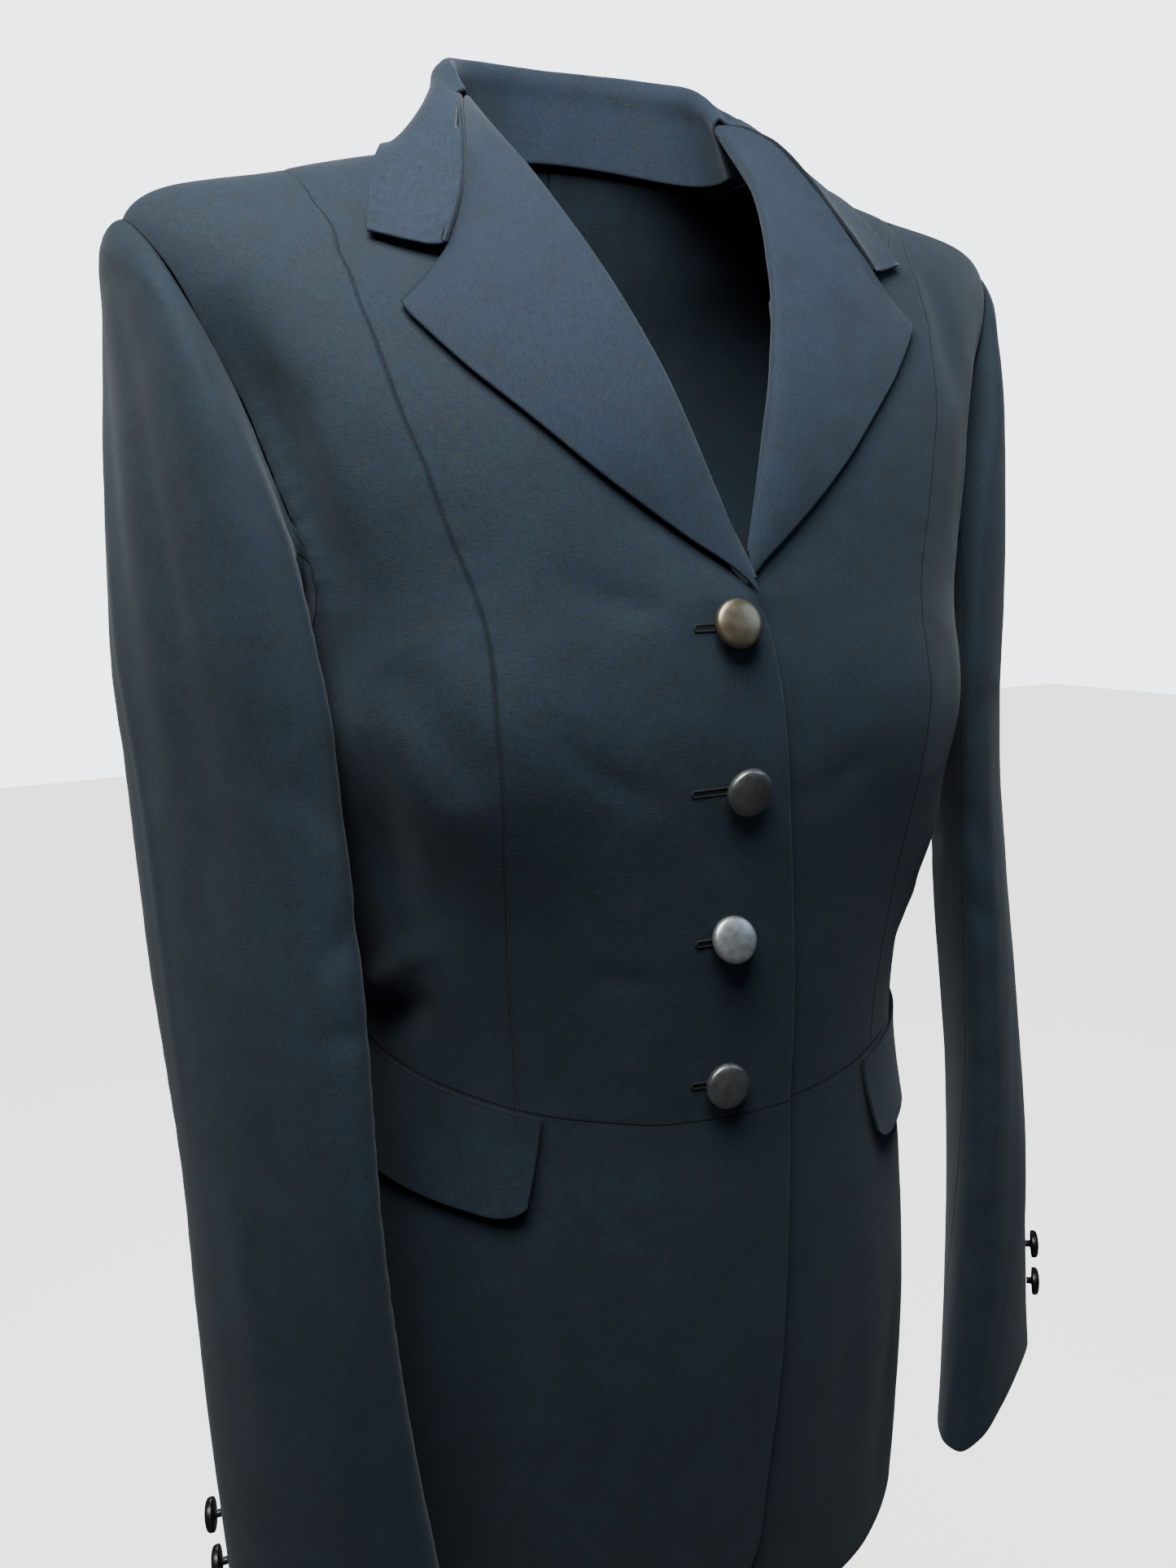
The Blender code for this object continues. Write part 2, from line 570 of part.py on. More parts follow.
def collar_row(side, station):
    """One section of the collar: up the stand inside the neck, over the crease and down the fall."""
    neck_angle, inset, x, y, z = (smooth_table(COLLAR, station, column) for column in range(1, 6))
    crease = np.array([side * x + fold_shift(1.0) * max(0.0, 1 - station * 2.5), y, z])
    foot = body_point(side * neck_angle, NECKLINE)
    centre = np.array([0.0, 0.0, foot[2]])
    inwards = (centre - foot) / np.linalg.norm(centre - foot)
    foot = foot + inwards * (inset + CLOTH) + np.array([0.0, 0.0, 0.0008])
    rise = crease - foot
    height = np.linalg.norm(rise)
    rise /= height
    across = inwards - rise * (inwards @ rise)
    across /= np.linalg.norm(across)
    row = [foot + rise * (height - COLLAR_FOLD) * share for share in (0.0, 0.35, 0.70, 1.0)]
    row.append(crease - across * COLLAR_FOLD * 0.9)
    start = crease - rise * COLLAR_FOLD * 0.9 - across * COLLAR_FOLD * 1.8
    return row + collar_fall(side, station, start)


def collar_fall(side, station, start):
    """The fall of the collar in one section. Its first section lies along the top of the lapel."""
    neck_angle = smooth_table(COLLAR, station, 1)
    edge_ring, edge_angle, edge_lift = (smooth_table(COLLAR, station, column) for column in (6, 7, 8))
    surface = on_body(side * neck_angle, NECKLINE, edge_lift)
    top_of_lapel = lapel_row(side, 1.0)
    joined = max(0.0, 1.0 - station / 0.08) ** 1.5
    fall = []
    for t in COLLAR_STEPS:
        ring = NECKLINE + (edge_ring - NECKLINE) * t
        angle = neck_angle + (edge_angle - neck_angle) * t**0.6
        lying = on_body(side * angle, ring, edge_lift)
        point = lying + (start - surface) * (1 - t) ** 4.0
        fall.append(point + (top_of_lapel(t * NOTCH_SHARE) - point) * joined * min(1.0, t / 0.15))
    return fall


def collar_grid():
    stations = [0.0, 0.02, 0.045, 0.08, 0.125, 0.17, 0.215, 0.26, 0.32, 0.38, 0.45, 0.52, 0.60, 0.68, 0.76, 0.84, 0.92]
    right = [collar_row(-1, station) for station in stations]
    left = [collar_row(1, station) for station in stations]
    grid = right + [collar_row(1, 1.0)] + left[::-1]
    return draw_in_end(draw_in_end(grid, 2.4 * SEAM_GAP)[::-1], 2.4 * SEAM_GAP)[::-1]


def armhole_point(side, turn):
    """The sleeve's end at the armhole. Turn runs from the back of the arm over the shoulder to the front."""
    ring = ARMHOLE_CENTRE + ARMHOLE_REACH * math.sin(math.radians(turn))
    return on_body(side * armhole_angle(ring, math.cos(math.radians(turn)) > 0), ring, CLOTH + 2 * SEAM_GAP)


def sleeve_ring(side, sizes, turn):
    """A point of one section of the sleeve: an oval that is thicker on its outer side than towards the body."""
    x, y, z, half_length, outer, heading, tilt, inner = sizes
    heading, tilt, turn = math.radians(heading), math.radians(tilt), math.radians(turn)
    long_side = np.array([math.cos(heading), math.sin(heading), 0.0]) * half_length
    outwards = np.array([math.sin(heading), -math.cos(heading), 0.0])
    thin_side = outwards * math.cos(tilt) + np.array([0.0, 0.0, math.sin(tilt)])
    thickness = outer if math.sin(turn) > 0 else inner
    point = np.array([x, y, z]) + long_side * math.cos(turn) + thin_side * thickness * math.sin(turn)
    return point * np.array([side, 1.0, 1.0])


def sleeve_point(side, share, turn):
    """A point of a sleeve's outer face, at a share of its length and a turn about it in degrees."""
    point = sleeve_ring(side, [smooth_table(SLEEVE, share, column) for column in range(1, 9)], turn)
    if share < ARMHOLE_BLEND:
        drawn = armhole_point(side, turn) - sleeve_ring(side, SLEEVE[0][1:], turn)
        point = point + drawn * (1 - share / ARMHOLE_BLEND) ** 2
    low = max(0.0, (share - 0.8) / 0.2)
    point[2] += CUFF_RISE * low**2 * max(0.0, math.sin(math.radians(turn))) ** 2
    return point


def sleeve_grid(side, upper):
    """The upper sleeve, over the outside of the arm, or the under sleeve, which faces the body."""
    shares = [0.0, 0.025, 0.05, 0.09, 0.13, 0.18, 0.24, 0.30, 0.37, 0.45, 0.53, 0.61, 0.69, 0.77, 0.85, 0.93, 1.0]
    columns = 10 if upper else 9
    grid = []
    for share in shares:
        twist = SLEEVE_TWIST[side] * max(0.0, (share - 0.4) / 0.6) ** 1.3
        elbow, front_turn = (smooth_table(SLEEVE_SEAMS, share, column) + twist for column in (1, 2))
        first, last = (elbow, front_turn) if upper else (front_turn, elbow + 360.0)
        row = []
        for i in range(columns + 1):    # closer together by the seams, where the sleeve turns tightly
            t = 0.35 * i / columns + 0.65 * (0.5 - 0.5 * math.cos(math.pi * i / columns))
            row.append(sleeve_point(side, share, first + (last - first) * t))
        grid.append(row)
    return set_in(grid, SLEEVE_SEAM_GAP)


def flap_grid(side):
    """The pocket flap: from the waist seam down over the skirt, with a rounded front corner."""
    grid = []
    for across in (0.0, 0.03, 0.10, 0.22, 0.38, 0.55, 0.72, 0.88, 1.0):
        angle = FLAP_ANGLES[0] + (FLAP_ANGLES[1] - FLAP_ANGLES[0]) * across
        top = body_point(side * angle, WAIST)[2] - 0.0006
        rounded = max(0.0, 1.0 - across / 0.09)
        depth = FLAP_DEPTH[0] + (FLAP_DEPTH[1] - FLAP_DEPTH[0]) * across - 0.007 * rounded**2
        column = []
        for down in (0.0, 0.25, 0.5, 0.75, 0.92, 1.0):
            z = top - depth * down
            leaning = angle + 2.2 * down * (1 - across)
            ring = ring_at_height(side * leaning, z)
            out = LAYER_GAP * 1.5 + TURNED_CLOTH + FLAP_LIFT * down**1.3 * (1 - across) ** 1.8
            column.append(on_body(side * leaning, ring, out))
        grid.append(column)
    return grid


def ring_at_height(angle, z):
    """The ring number at which the body has this height, below the chest."""
    low, high = 0.0, BREAK
    for _ in range(40):
        middle = (low + high) / 2
        if body_point(angle, middle)[2] < z:
            low = middle
        else:
            high = middle
    return (low + high) / 2


def button(name, place, normal, radius, height):
    """A domed button on a short shank: a profile turned with a Screw modifier, standing on the cloth."""
    profile = (
        (0.0, height), (radius * 0.45, height * 0.975), (radius * 0.80, height * 0.86),
        (radius * 0.97, height * 0.68), (radius, height * 0.55), (radius * 0.93, height * 0.42),
        (radius * 0.30, height * 0.38), (radius * 0.24, 0.0), (0.0, 0.0),
    )
    bm = bmesh.new()
    verts = [bm.verts.new((r, 0.0, z)) for r, z in profile]
    for first, second in zip(verts, verts[1:]):
        bm.edges.new((first, second))
    mesh = bpy.data.meshes.new(name)
    bm.to_mesh(mesh)
    bm.free()
    obj = bpy.data.objects.new(name, mesh)
    obj.data.materials.append(material(f"{name} cover", BUTTON_BLACK, 0.45))
    turned = obj.modifiers.new("turned", "SCREW")
    turned.steps = turned.render_steps = 18
    turned.use_merge_vertices = True
    turned.merge_threshold = 0.00005
    turned.use_smooth_shade = True
    z_axis = np.array(normal) / np.linalg.norm(normal)
    x_axis = np.cross((0.0, 0.0, 1.0), z_axis)
    x_axis /= np.linalg.norm(x_axis)
    y_axis = np.cross(z_axis, x_axis)
    rows = [[x_axis[i], y_axis[i], z_axis[i], place[i]] for i in range(3)]
    obj.matrix_world = mathutils.Matrix(rows + [[0.0, 0.0, 0.0, 1.0]])
    return obj


def front_buttons():
    made = []
    for number, (height, x) in enumerate(FRONT_BUTTONS, 1):
        ring = ring_at_height(0.0, height)
        angle = angle_at_x(x, ring)
        normal = body_normal(angle, ring)
        place = on_body(angle, ring, OVERLAP_RAISE + 0.0005)
        made.append(button(f"front_button_{number}", place, normal, BUTTON_RADIUS, BUTTON_HEIGHT))
    return made


def cuff_buttons(side, word):
    made = []
    turn = CUFF_BUTTONS[side][0]
    for number, share in enumerate(CUFF_BUTTONS[side][1:], 1):
        place = sleeve_point(side, share, turn)
        around = sleeve_point(side, share, turn + 4.0) - sleeve_point(side, share, turn - 4.0)
        down = sleeve_point(side, share + 0.02, turn) - sleeve_point(side, share - 0.02, turn)
        normal = np.cross(around, down) * side
        normal /= np.linalg.norm(normal)
        made.append(button(
            f"cuff_button_{word}_{number}", place + normal * 0.0004, normal,
            CUFF_BUTTON_RADIUS, CUFF_BUTTON_HEIGHT,
        ))
    return made


def build():
    clear_scene()
    pieces = []
    for side, word in ((-1, "right"), (1, "left")):
        body = (
            ("front", front), ("side_front", side_front), ("side_back", side_back),
            ("back", back), ("front_skirt", front_skirt), ("back_skirt", back_skirt),
        )
        for part_name, make in body:
            pieces.append(cloth(f"{part_name}_{word}", make(side), CLOTH, outside=side))
        pieces.append(cloth(f"lapel_{word}", lapel_grid(side), TURNED_CLOTH, outside=side))
        pieces.append(cloth(f"upper_sleeve_{word}", sleeve_grid(side, True), CLOTH, outside=side))
        pieces.append(cloth(f"under_sleeve_{word}", sleeve_grid(side, False), CLOTH, outside=side))
        pieces.append(cloth(f"pocket_flap_{word}", flap_grid(side), TURNED_CLOTH, outside=side))
        pieces += cuff_buttons(side, word)
    pieces.append(cloth("collar", collar_grid(), TURNED_CLOTH, outside=1))
    pieces += front_buttons()
    coat = bpy.data.collections.new("hunt coat")
    bpy.context.scene.collection.children.link(coat)
    for piece in pieces:
        coat.objects.link(piece)


build()
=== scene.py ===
# %% [markdown]
# # A hunt coat in the shape of its wearer
#
# This is a woman's riding coat of navy wool with nobody in it. A tailor cuts it flat as 21 pieces,
# sews them edge to edge and presses them over the shape of a body. The plain model that is loaded
# here already has each piece as its own wall of cloth. This lesson dresses it: each piece is laid
# again on the same body curves with many more points, so that it can hold seams, folds and a weave.
#
# A cloth simulation was the other way. A tailored coat holds its pressed shape and hardly drapes, so its few
# soft folds are placed where the real ones lie.

# %% Load the frame
import functools
import math

import bpy
import mathutils
import numpy as np
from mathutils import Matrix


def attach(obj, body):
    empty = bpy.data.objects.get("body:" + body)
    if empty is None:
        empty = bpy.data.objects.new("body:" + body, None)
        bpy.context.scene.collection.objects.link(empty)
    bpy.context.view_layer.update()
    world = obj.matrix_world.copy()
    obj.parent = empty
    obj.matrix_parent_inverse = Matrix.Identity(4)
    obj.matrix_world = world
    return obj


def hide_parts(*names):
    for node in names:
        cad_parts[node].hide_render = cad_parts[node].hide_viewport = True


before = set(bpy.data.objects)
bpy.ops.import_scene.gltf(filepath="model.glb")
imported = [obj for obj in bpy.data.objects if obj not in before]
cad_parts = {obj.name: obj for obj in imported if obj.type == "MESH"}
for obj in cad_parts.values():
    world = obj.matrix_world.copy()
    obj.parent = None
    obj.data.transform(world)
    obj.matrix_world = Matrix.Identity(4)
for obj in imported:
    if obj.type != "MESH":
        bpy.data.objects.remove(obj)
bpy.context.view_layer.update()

# %% [markdown]
# ## The body's curves
#
# A tailor works on a dress form. Its place is taken by twelve rings from hem to neckline, each an oval
# with its own height, width and depth, and a smooth curve that runs through them. A place on the coat
# is then two numbers: an angle round from centre front, and a ring number up the body. Seams are
# short tables of such places, so that the two pieces that meet there share one line.

# %% Sizes of the coat
CLOTH = 0.0018              # wall of a body or sleeve panel
TURNED_CLOTH = 0.0016       # wall of the lapels, collar and pocket flaps
SPACING = 0.0031            # between the points of a finished grid
EDGE_STEPS = (0.00013, 0.00040, 0.00090, 0.0019)  # extra points this far from an edge
LAYER_GAP = 0.0006          # clear space between one layer of cloth and the next
OVERLAP_RAISE = 0.0032      # the right front stands this far out where it laps the left front
BACK_SQUARENESS = 2.25      # 2 is an ellipse; more is squarer
BUTTON_RADIUS = 0.0102
BUTTON_HEIGHT = 0.0080
CUFF_BUTTON_RADIUS = 0.0074
CUFF_BUTTON_HEIGHT = 0.0072
VENT_OVERLAP = 0.030        # how far the left back skirt laps the right one
SKIRT_BACK_RADIUS = 0.15    # of the skirt at centre back
print(f"the cloth is {CLOTH * 1000:.1f} mm thick, with a point every {SPACING * 1000:.1f} mm")

# %% [markdown]
# ## The form under the cloth
#
# A row of the first table is one ring of the dress form. Where pads and a hot iron shape a real coat, as at
# the bust and the shoulder blades, the second table swells the form or presses a hollow into it.

# %% Rings and pressed forms
# The rings of the body, from hem to neckline. z is the ring's height at the front, side and back.
RINGS = (
    # name, z front, z side, z back, half width, y front, y middle, y back, squareness of the front
    ("hem", -0.735, -0.713, -0.713, 0.161, -0.084, 0.034, 0.151, 2.25),
    ("skirt", -0.660, -0.660, -0.660, 0.161, -0.092, 0.031, 0.149, 2.25),
    ("hip", -0.580, -0.580, -0.580, 0.160, -0.098, 0.025, 0.144, 2.25),
    ("high hip", -0.500, -0.500, -0.500, 0.151, -0.099, 0.012, 0.126, 2.25),
    ("waist", -0.438, -0.412, -0.405, 0.140, -0.099, 0.000, 0.102, 2.25),
    ("midriff", -0.355, -0.345, -0.342, 0.152, -0.109, 0.000, 0.105, 2.25),
    ("bust", -0.270, -0.270, -0.270, 0.1680, -0.1195, 0.000, 0.112, 2.25),
    ("armpit", -0.210, -0.215, -0.210, 0.171, -0.1165, 0.000, 0.115, 2.30),
    ("chest", -0.172, -0.130, -0.145, 0.190, -0.1105, -0.003, 0.112, 2.30),
    ("shoulder", -0.140, -0.050, -0.085, 0.210, -0.1050, -0.006, 0.098, 1.65),
    ("mid shoulder", -0.118, -0.027, -0.042, 0.145, -0.0920, -0.006, 0.080, 1.80),
    ("neckline", -0.100, -0.012, 0.005, 0.079, -0.0800, 0.000, 0.062, 2.10),
)
RING_NAMES = [ring[0] for ring in RINGS]
RING_SIZES = np.array([ring[1:] for ring in RINGS])
HEM, WAIST, BREAK, SHOULDER, NECKLINE = (
    float(RING_NAMES.index(name)) for name in ("hem", "waist", "armpit", "shoulder", "neckline")
)

# Soft forms pressed into the body or standing out of it
FORMS = (
    # name, side (0 both, 1 left, -1 right), angle in degrees, height,
    # spread in degrees, spread in height, how far out
    ("bust", 0, 38.0, -0.262, 20.0, 0.055, 0.0120),
    ("hollow beside the armhole", 0, 66.0, -0.125, 11.0, 0.045, -0.0075),
    ("hollow under the bust", -1, 54.0, -0.315, 13.0, 0.035, -0.0040),
    ("fullness of the side", 1, 63.0, -0.328, 22.0, 0.028, 0.0060),
    ("fold at the side of the waist", 0, 78.0, -0.392, 18.0, 0.011, -0.0035),
    ("shoulder blade", 0, 138.0, -0.150, 20.0, 0.060, 0.0060),
    ("hollow of the back", 0, 165.0, -0.400, 30.0, 0.060, -0.0050),
)
WAIST_LEAN = 0.045          # the waist seam drops this much per metre towards the wearer's left
WAIST_LEAN_REACH = 1.1      # in ring numbers above and below the waist
print(len(RINGS), "rings from hem to neckline and", len(FORMS), "pressed forms")

# %% [markdown]
# ## The cutting lines
#
# These tables hold where the princess seam, the back seam, the armholes and the front edge run. The
# princess seam starts at the waist and ends at the shoulder seam, and takes the bust's shape between.

# %% Seams and edges
# Seams as angle in degrees from centre front, against ring number
PRINCESS_SEAM = (
    # ring number, angle
    (4.0, 38.7), (4.86, 36.7), (5.35, 34.5), (6.0, 31.7), (6.5, 31.6), (7.5, 33.6), (8.08, 34.8),
    (8.33, 36.4), (8.75, 39.8), (9.07, 43.4), (9.48, 50.9), (9.80, 64.0), (9.94, 80.0), (9.97, 90.0),
)
BACK_SEAM = (
    # ring number, angle
    (4.0, 150.0), (5.0, 147.0), (6.0, 142.0), (7.0, 133.0), (7.6, 125.0), (7.85, 119.0),
)
SIDE_SEAM_ANGLE = 97.0
ARMHOLE_CENTRE = 7.85       # the ring number half way up the armhole
ARMHOLE_REACH = 1.15        # how many rings it spans above and below that
ARMHOLE_FRONT = (
    # ring number, widest angle in front of the arm's centre line that the armhole's oval is drawn with
    (6.7, 40.0), (7.3, 33.0), (7.6, 27.0), (7.95, 22.6), (8.2, 22.0), (8.45, 24.4), (8.75, 31.0),
    (9.0, 37.0),
)
ARMHOLE_BACK_ANGLE = 28.0
SHOULDER_SEAM_ANGLE, CENTRE_BACK = 90.0, 180.0
TIP_ROOM = 0.01             # in ring numbers: a panel that ends in a point stops this far short of it
PRINCESS_TOP = PRINCESS_SEAM[-1][0]
BACK_SEAM_TOP = BACK_SEAM[-1][0]
ARMHOLE_BOTTOM = ARMHOLE_CENTRE - ARMHOLE_REACH

# The front edge of the right front, which laps the left one, and of the left front below it
FRONT_EDGE = (
    # ring number, right front's edge x, left front's edge x
    (-0.02, -0.104, 0.108), (0.02, -0.084, 0.088), (0.10, -0.054, 0.060), (0.30, -0.019, 0.026),
    (0.50, 0.001, 0.007), (0.71, 0.0112, -0.003), (1.31, 0.0187, -0.010), (2.26, 0.0273, -0.016),
    (3.0, 0.031, -0.019), (3.8, 0.033, -0.022), (4.3, 0.033, -0.022), (5.2, 0.028, -0.022),
    (5.7, 0.023, -0.021), (6.4, 0.018, -0.019), (7.0, 0.012, -0.012),
)
print("the princess seam has", len(PRINCESS_SEAM), "places and the front edge has", len(FRONT_EDGE))

# %% [markdown]
# ## Lapels and collar
#
# A lapel is the top of the front, folded back along the roll line. Its edge and its top are given as
# places on the body that it lies on. The collar is a stand inside the neck, a crease and a fall.

# %% Roll line, lapel and collar
# The fold of the lapels, from the break above the top button to where the collar's crease takes over
FOLD_SHIFT = 0.006          # both folds lie this far towards the wearer's left
ROLL_LINE = (
    # share of its length, half the gap between the folds, y, z, ring number beside it, angle beside it
    (0.0, -0.0030, -0.1195, -0.208, 7.00, 1.0),
    (0.09, 0.0020, -0.1160, -0.188, 7.56, 1.2),
    (0.18, 0.0085, -0.1125, -0.168, 8.10, 2.0),
    (0.27, 0.0150, -0.1082, -0.148, 8.75, 3.2),
    (0.36, 0.0213, -0.1030, -0.128, 9.38, 5.5),
    (0.45, 0.0277, -0.0955, -0.108, 10.15, 10.0),
    (0.54, 0.0345, -0.0858, -0.088, 11.00, 22.5),
    (0.63, 0.0410, -0.0738, -0.068, 11.00, 35.0),
    (0.72, 0.0478, -0.0602, -0.048, 11.00, 48.0),
    (0.82, 0.0540, -0.0440, -0.028, 11.00, 61.0),
    (0.91, 0.0586, -0.0220, -0.008, 11.00, 75.0),
    (1.0, 0.0618, 0.0040, 0.014, 11.00, 90.0),
)
LEAVES_FRONT = 0.54         # the share above which the fold lies above the front's neckline
LAPEL_EDGE = (
    # share of the fold's length, ring number, angle
    (0.0, 6.91, 0.6), (0.10, 7.25, 2.2), (0.22, 7.62, 5.8), (0.36, 8.05, 11.0), (0.50, 8.45, 18.0),
    (0.62, 8.70, 24.4), (0.75, 8.94, 32.0), (0.86, 9.08, 35.8), (0.95, 9.20, 39.2), (1.0, 9.28, 40.8),
)
NOTCH_SHARE = 0.68          # how far out along the top of the lapel the notch lies
LAPEL_TOP = (
    # share of the way from the fold to the corner, ring number, angle
    (0.0, 11.0, 90.0), (0.34, 10.52, 57.0), (0.68, 9.975, 43.6), (1.0, 9.28, 40.8),
)
LAPEL_LIFT = 0.0045         # how far the lapel's middle springs off the front

# The collar, from the gorge seam round to centre back
COLLAR = (
    # station, neckline angle, inset of the foot, crease x, y, z, edge's ring, edge's angle, edge's lift
    (0.00, 90.0, 0.0060, 0.0618, 0.0044, 0.0144, 9.97, 43.6, 0.0024),
    (0.08, 95.0, 0.0045, 0.0628, 0.0115, 0.0225, 9.77, 52.6, 0.0024),
    (0.17, 100.0, 0.0038, 0.0618, 0.0190, 0.0300, 10.02, 58.6, 0.0024),
    (0.26, 106.0, 0.0034, 0.0598, 0.0270, 0.0355, 10.22, 65.5, 0.0024),
    (0.38, 116.0, 0.0032, 0.0552, 0.0365, 0.0402, 10.50, 80.0, 0.0024),
    (0.52, 130.0, 0.0030, 0.0470, 0.0450, 0.0440, 10.66, 104.0, 0.0023),
    (0.68, 147.0, 0.0030, 0.0340, 0.0510, 0.0468, 10.72, 132.0, 0.0023),
    (0.84, 164.0, 0.0030, 0.0175, 0.0560, 0.0488, 10.75, 157.0, 0.0023),
    (1.00, 180.0, 0.0030, 0.0000, 0.0580, 0.0495, 10.76, 180.0, 0.0023),
)
LAPEL_STEPS = (0.0, 0.05, 0.14, 0.30, 0.50, 0.68, 0.86, 1.0)    # shares from the fold to the edge
COLLAR_STEPS = (0.0, 0.10, 0.24, 0.42, 0.64, 0.82, 1.0)         # shares down the collar's fall
FOLD_ROOM = 0.0064          # how far back from the lapel's fold the front's own edge stops
COLLAR_FOLD = 0.0022        # half the thickness of the collar at its crease
print("the lapels fold from z", ROLL_LINE[0][3], "up to", ROLL_LINE[-1][3])

# %% [markdown]
# ## Sleeves
#
# A two-piece sleeve bends forward at the elbow. It is a run of ovals down the arm, each with its
# centre, its two half widths, its heading and its tilt. The wearer's left sleeve hangs turned.

# %% Sleeve, cuff and button places
# The wearer's left sleeve from armhole to cuff. The other is its mirror image.
SLEEVE = (
    # length share, centre x, y, z, half length, thickness outwards,
    # heading of the long side, tilt, thickness inwards
    (0.00, 0.1930, -0.002, -0.128, 0.0640, 0.0800, 88.0, 77.0, 0.0800),
    (0.05, 0.1920, 0.003, -0.140, 0.0640, 0.0890, 81.0, 73.0, 0.0740),
    (0.13, 0.1900, -0.002, -0.166, 0.0700, 0.0725, 72.0, 68.0, 0.0520),
    (0.24, 0.1916, -0.009, -0.212, 0.0716, 0.0470, 64.0, 55.0, 0.0216),
    (0.36, 0.1915, -0.017, -0.275, 0.0670, 0.0270, 58.0, 30.0, 0.0125),
    (0.52, 0.1915, -0.030, -0.362, 0.0630, 0.0205, 55.0, 8.0, 0.0175),
    (0.68, 0.1910, -0.042, -0.450, 0.0580, 0.0205, 55.0, 0.0, 0.0185),
    (0.84, 0.1895, -0.0515, -0.548, 0.0545, 0.0215, 48.0, 0.0, 0.0205),
    (1.00, 0.1830, -0.0605, -0.668, 0.0520, 0.0215, 35.0, 8.0, 0.0215),
)
ARMHOLE_BLEND = 0.16        # over this share of its length the sleeve leaves the armhole's own outline
SLEEVE_SEAMS = (
    # length share, turn of the elbow seam, turn of the front seam, in degrees about the sleeve
    (0.0, 30.0, 205.0), (0.3, 26.0, 200.0), (0.6, 22.0, 196.0), (0.85, 6.0, 194.0), (1.0, 6.0, 194.0),
)
CUFF_BUTTONS = {            # turn about the sleeve and two shares of its length, for the left and the right
    1: (72.0, 0.898, 0.932), -1: (12.0, 0.930, 0.959),
}
SLEEVE_TWIST = {1: 52.0, -1: 0.0}   # how far each sleeve hangs turned at the cuff, in degrees
CUFF_RISE = 0.026           # how much higher the cuff's edge is in the middle of its outer side
SLEEVE_CLEAR = 0.0002       # the end of a sleeve lies this far off the body

FRONT_BUTTONS = ((-0.220, -0.003), (-0.2855, 0.000), (-0.352, -0.0034), (-0.420, -0.0038))  # z, x
FLAP_ANGLES = (33.3, 92.0)  # from front edge to back edge of a pocket flap
FLAP_DEPTH = (0.047, 0.060)  # at the front edge and at the back edge
FLAP_LIFT = 0.0040          # how far the flap's lower edge stands off the skirt
print(len(FRONT_BUTTONS), "front buttons, and", len(CUFF_BUTTONS[1]) - 1, "on each cuff")

# %% [markdown]
# ## Reading the tables
#
# One helper reads a column of a short table on a smooth curve, with no bump where the table is flat.
# Another turns a straight share into one that starts and ends softly, and the last one finds a place by
# halving a range again and again, for a question that has no formula.

# %% Tables, soft shares and halving
HALVINGS = 40


@functools.lru_cache(maxsize=None)
def table_curve(table, column):
    """A column of a short table with the slopes of a smooth curve, flat where the table is flat."""
    keys = np.array([row[0] for row in table], float)
    values = np.array([row[column] for row in table], float)
    slopes = np.gradient(values, keys)
    rise = np.diff(values) / np.diff(keys)
    for i, step in enumerate(rise):
        for end in (i, i + 1):
            slopes[end] = 0.0 if step == 0.0 else np.clip(slopes[end] / step, 0.0, 3.0) * step
    return keys, values, slopes


def smooth_table(table, at, column=1):
    keys, values, slopes = table_curve(table, column)
    at = np.clip(at, keys[0], keys[-1])
    i = np.minimum(np.searchsorted(keys, at, side="right") - 1, len(keys) - 2)
    width = keys[i + 1] - keys[i]
    t = (at - keys[i]) / width
    return (
        (2 * t**3 - 3 * t**2 + 1) * values[i] + (t**3 - 2 * t**2 + t) * width * slopes[i]
        + (3 * t**2 - 2 * t**3) * values[i + 1] + (t**3 - t**2) * width * slopes[i + 1]
    )


def eased(share):
    """A share from 0 to 1 that starts and ends softly."""
    return share * share * (3 - 2 * share)


def halved(low, high, too_low):
    """The place between low and high at which too_low stops being true."""
    for _ in range(HALVINGS):
        middle = (low + high) / 2
        if too_low(middle):
            low = middle
        else:
            high = middle
    return (low + high) / 2


print("the front edge at the waist lies at x", round(float(smooth_table(FRONT_EDGE, WAIST)), 4))

# %% [markdown]
# ## Points on the body
#
# An angle and a ring number become a point of the cloth's outer face, and the cross product of two short
# steps round and up gives the way that the face looks there. The skirt also has soft flutes.

# %% Points on the body
FLUTE_DEPTH = 0.0042        # of the skirt's flutes at the hem
FLUTE_TOP, FLUTE_DROP = -0.50, 0.24         # the height at which they start, and how far below it they end
FLUTE_ANGLE, FLUTE_SPREAD = 128.0, 34.0     # degrees round from centre front
FLUTES = 9.0                # waves in a full turn
ANGLE_STEP, RING_STEP = 1.5, 0.04           # short steps that find which way the cloth faces


def ring_sizes(ring):
    """The sizes of the body at any ring number, on a smooth curve through the table's rings."""
    last = len(RINGS) - 1
    ring = np.clip(ring, 0.0, last)
    i = np.minimum(np.floor(ring).astype(int), last - 1)
    t = (ring - i)[..., None]
    p0, p1, p2, p3 = (RING_SIZES[np.clip(i + k, 0, last)] for k in (-1, 0, 1, 2))
    sizes = 0.5 * (
        2 * p1 + (p2 - p0) * t + (2 * p0 - 5 * p1 + 4 * p2 - p3) * t**2 + (3 * p1 - p0 - 3 * p2 + p3) * t**3
    )
    return np.moveaxis(sizes, -1, 0)


def skirt_wave(angle, z):
    """Soft flutes at the side and back of the skirt, which deepen towards the hem."""
    depth = FLUTE_DEPTH * np.clip((FLUTE_TOP - z) / FLUTE_DROP, 0.0, 1.0) ** 1.4
    spread = np.exp(-(((np.abs(angle) - FLUTE_ANGLE) / FLUTE_SPREAD) ** 2))
    return depth * spread * np.sin(np.radians(np.abs(angle) * FLUTES + 40.0))


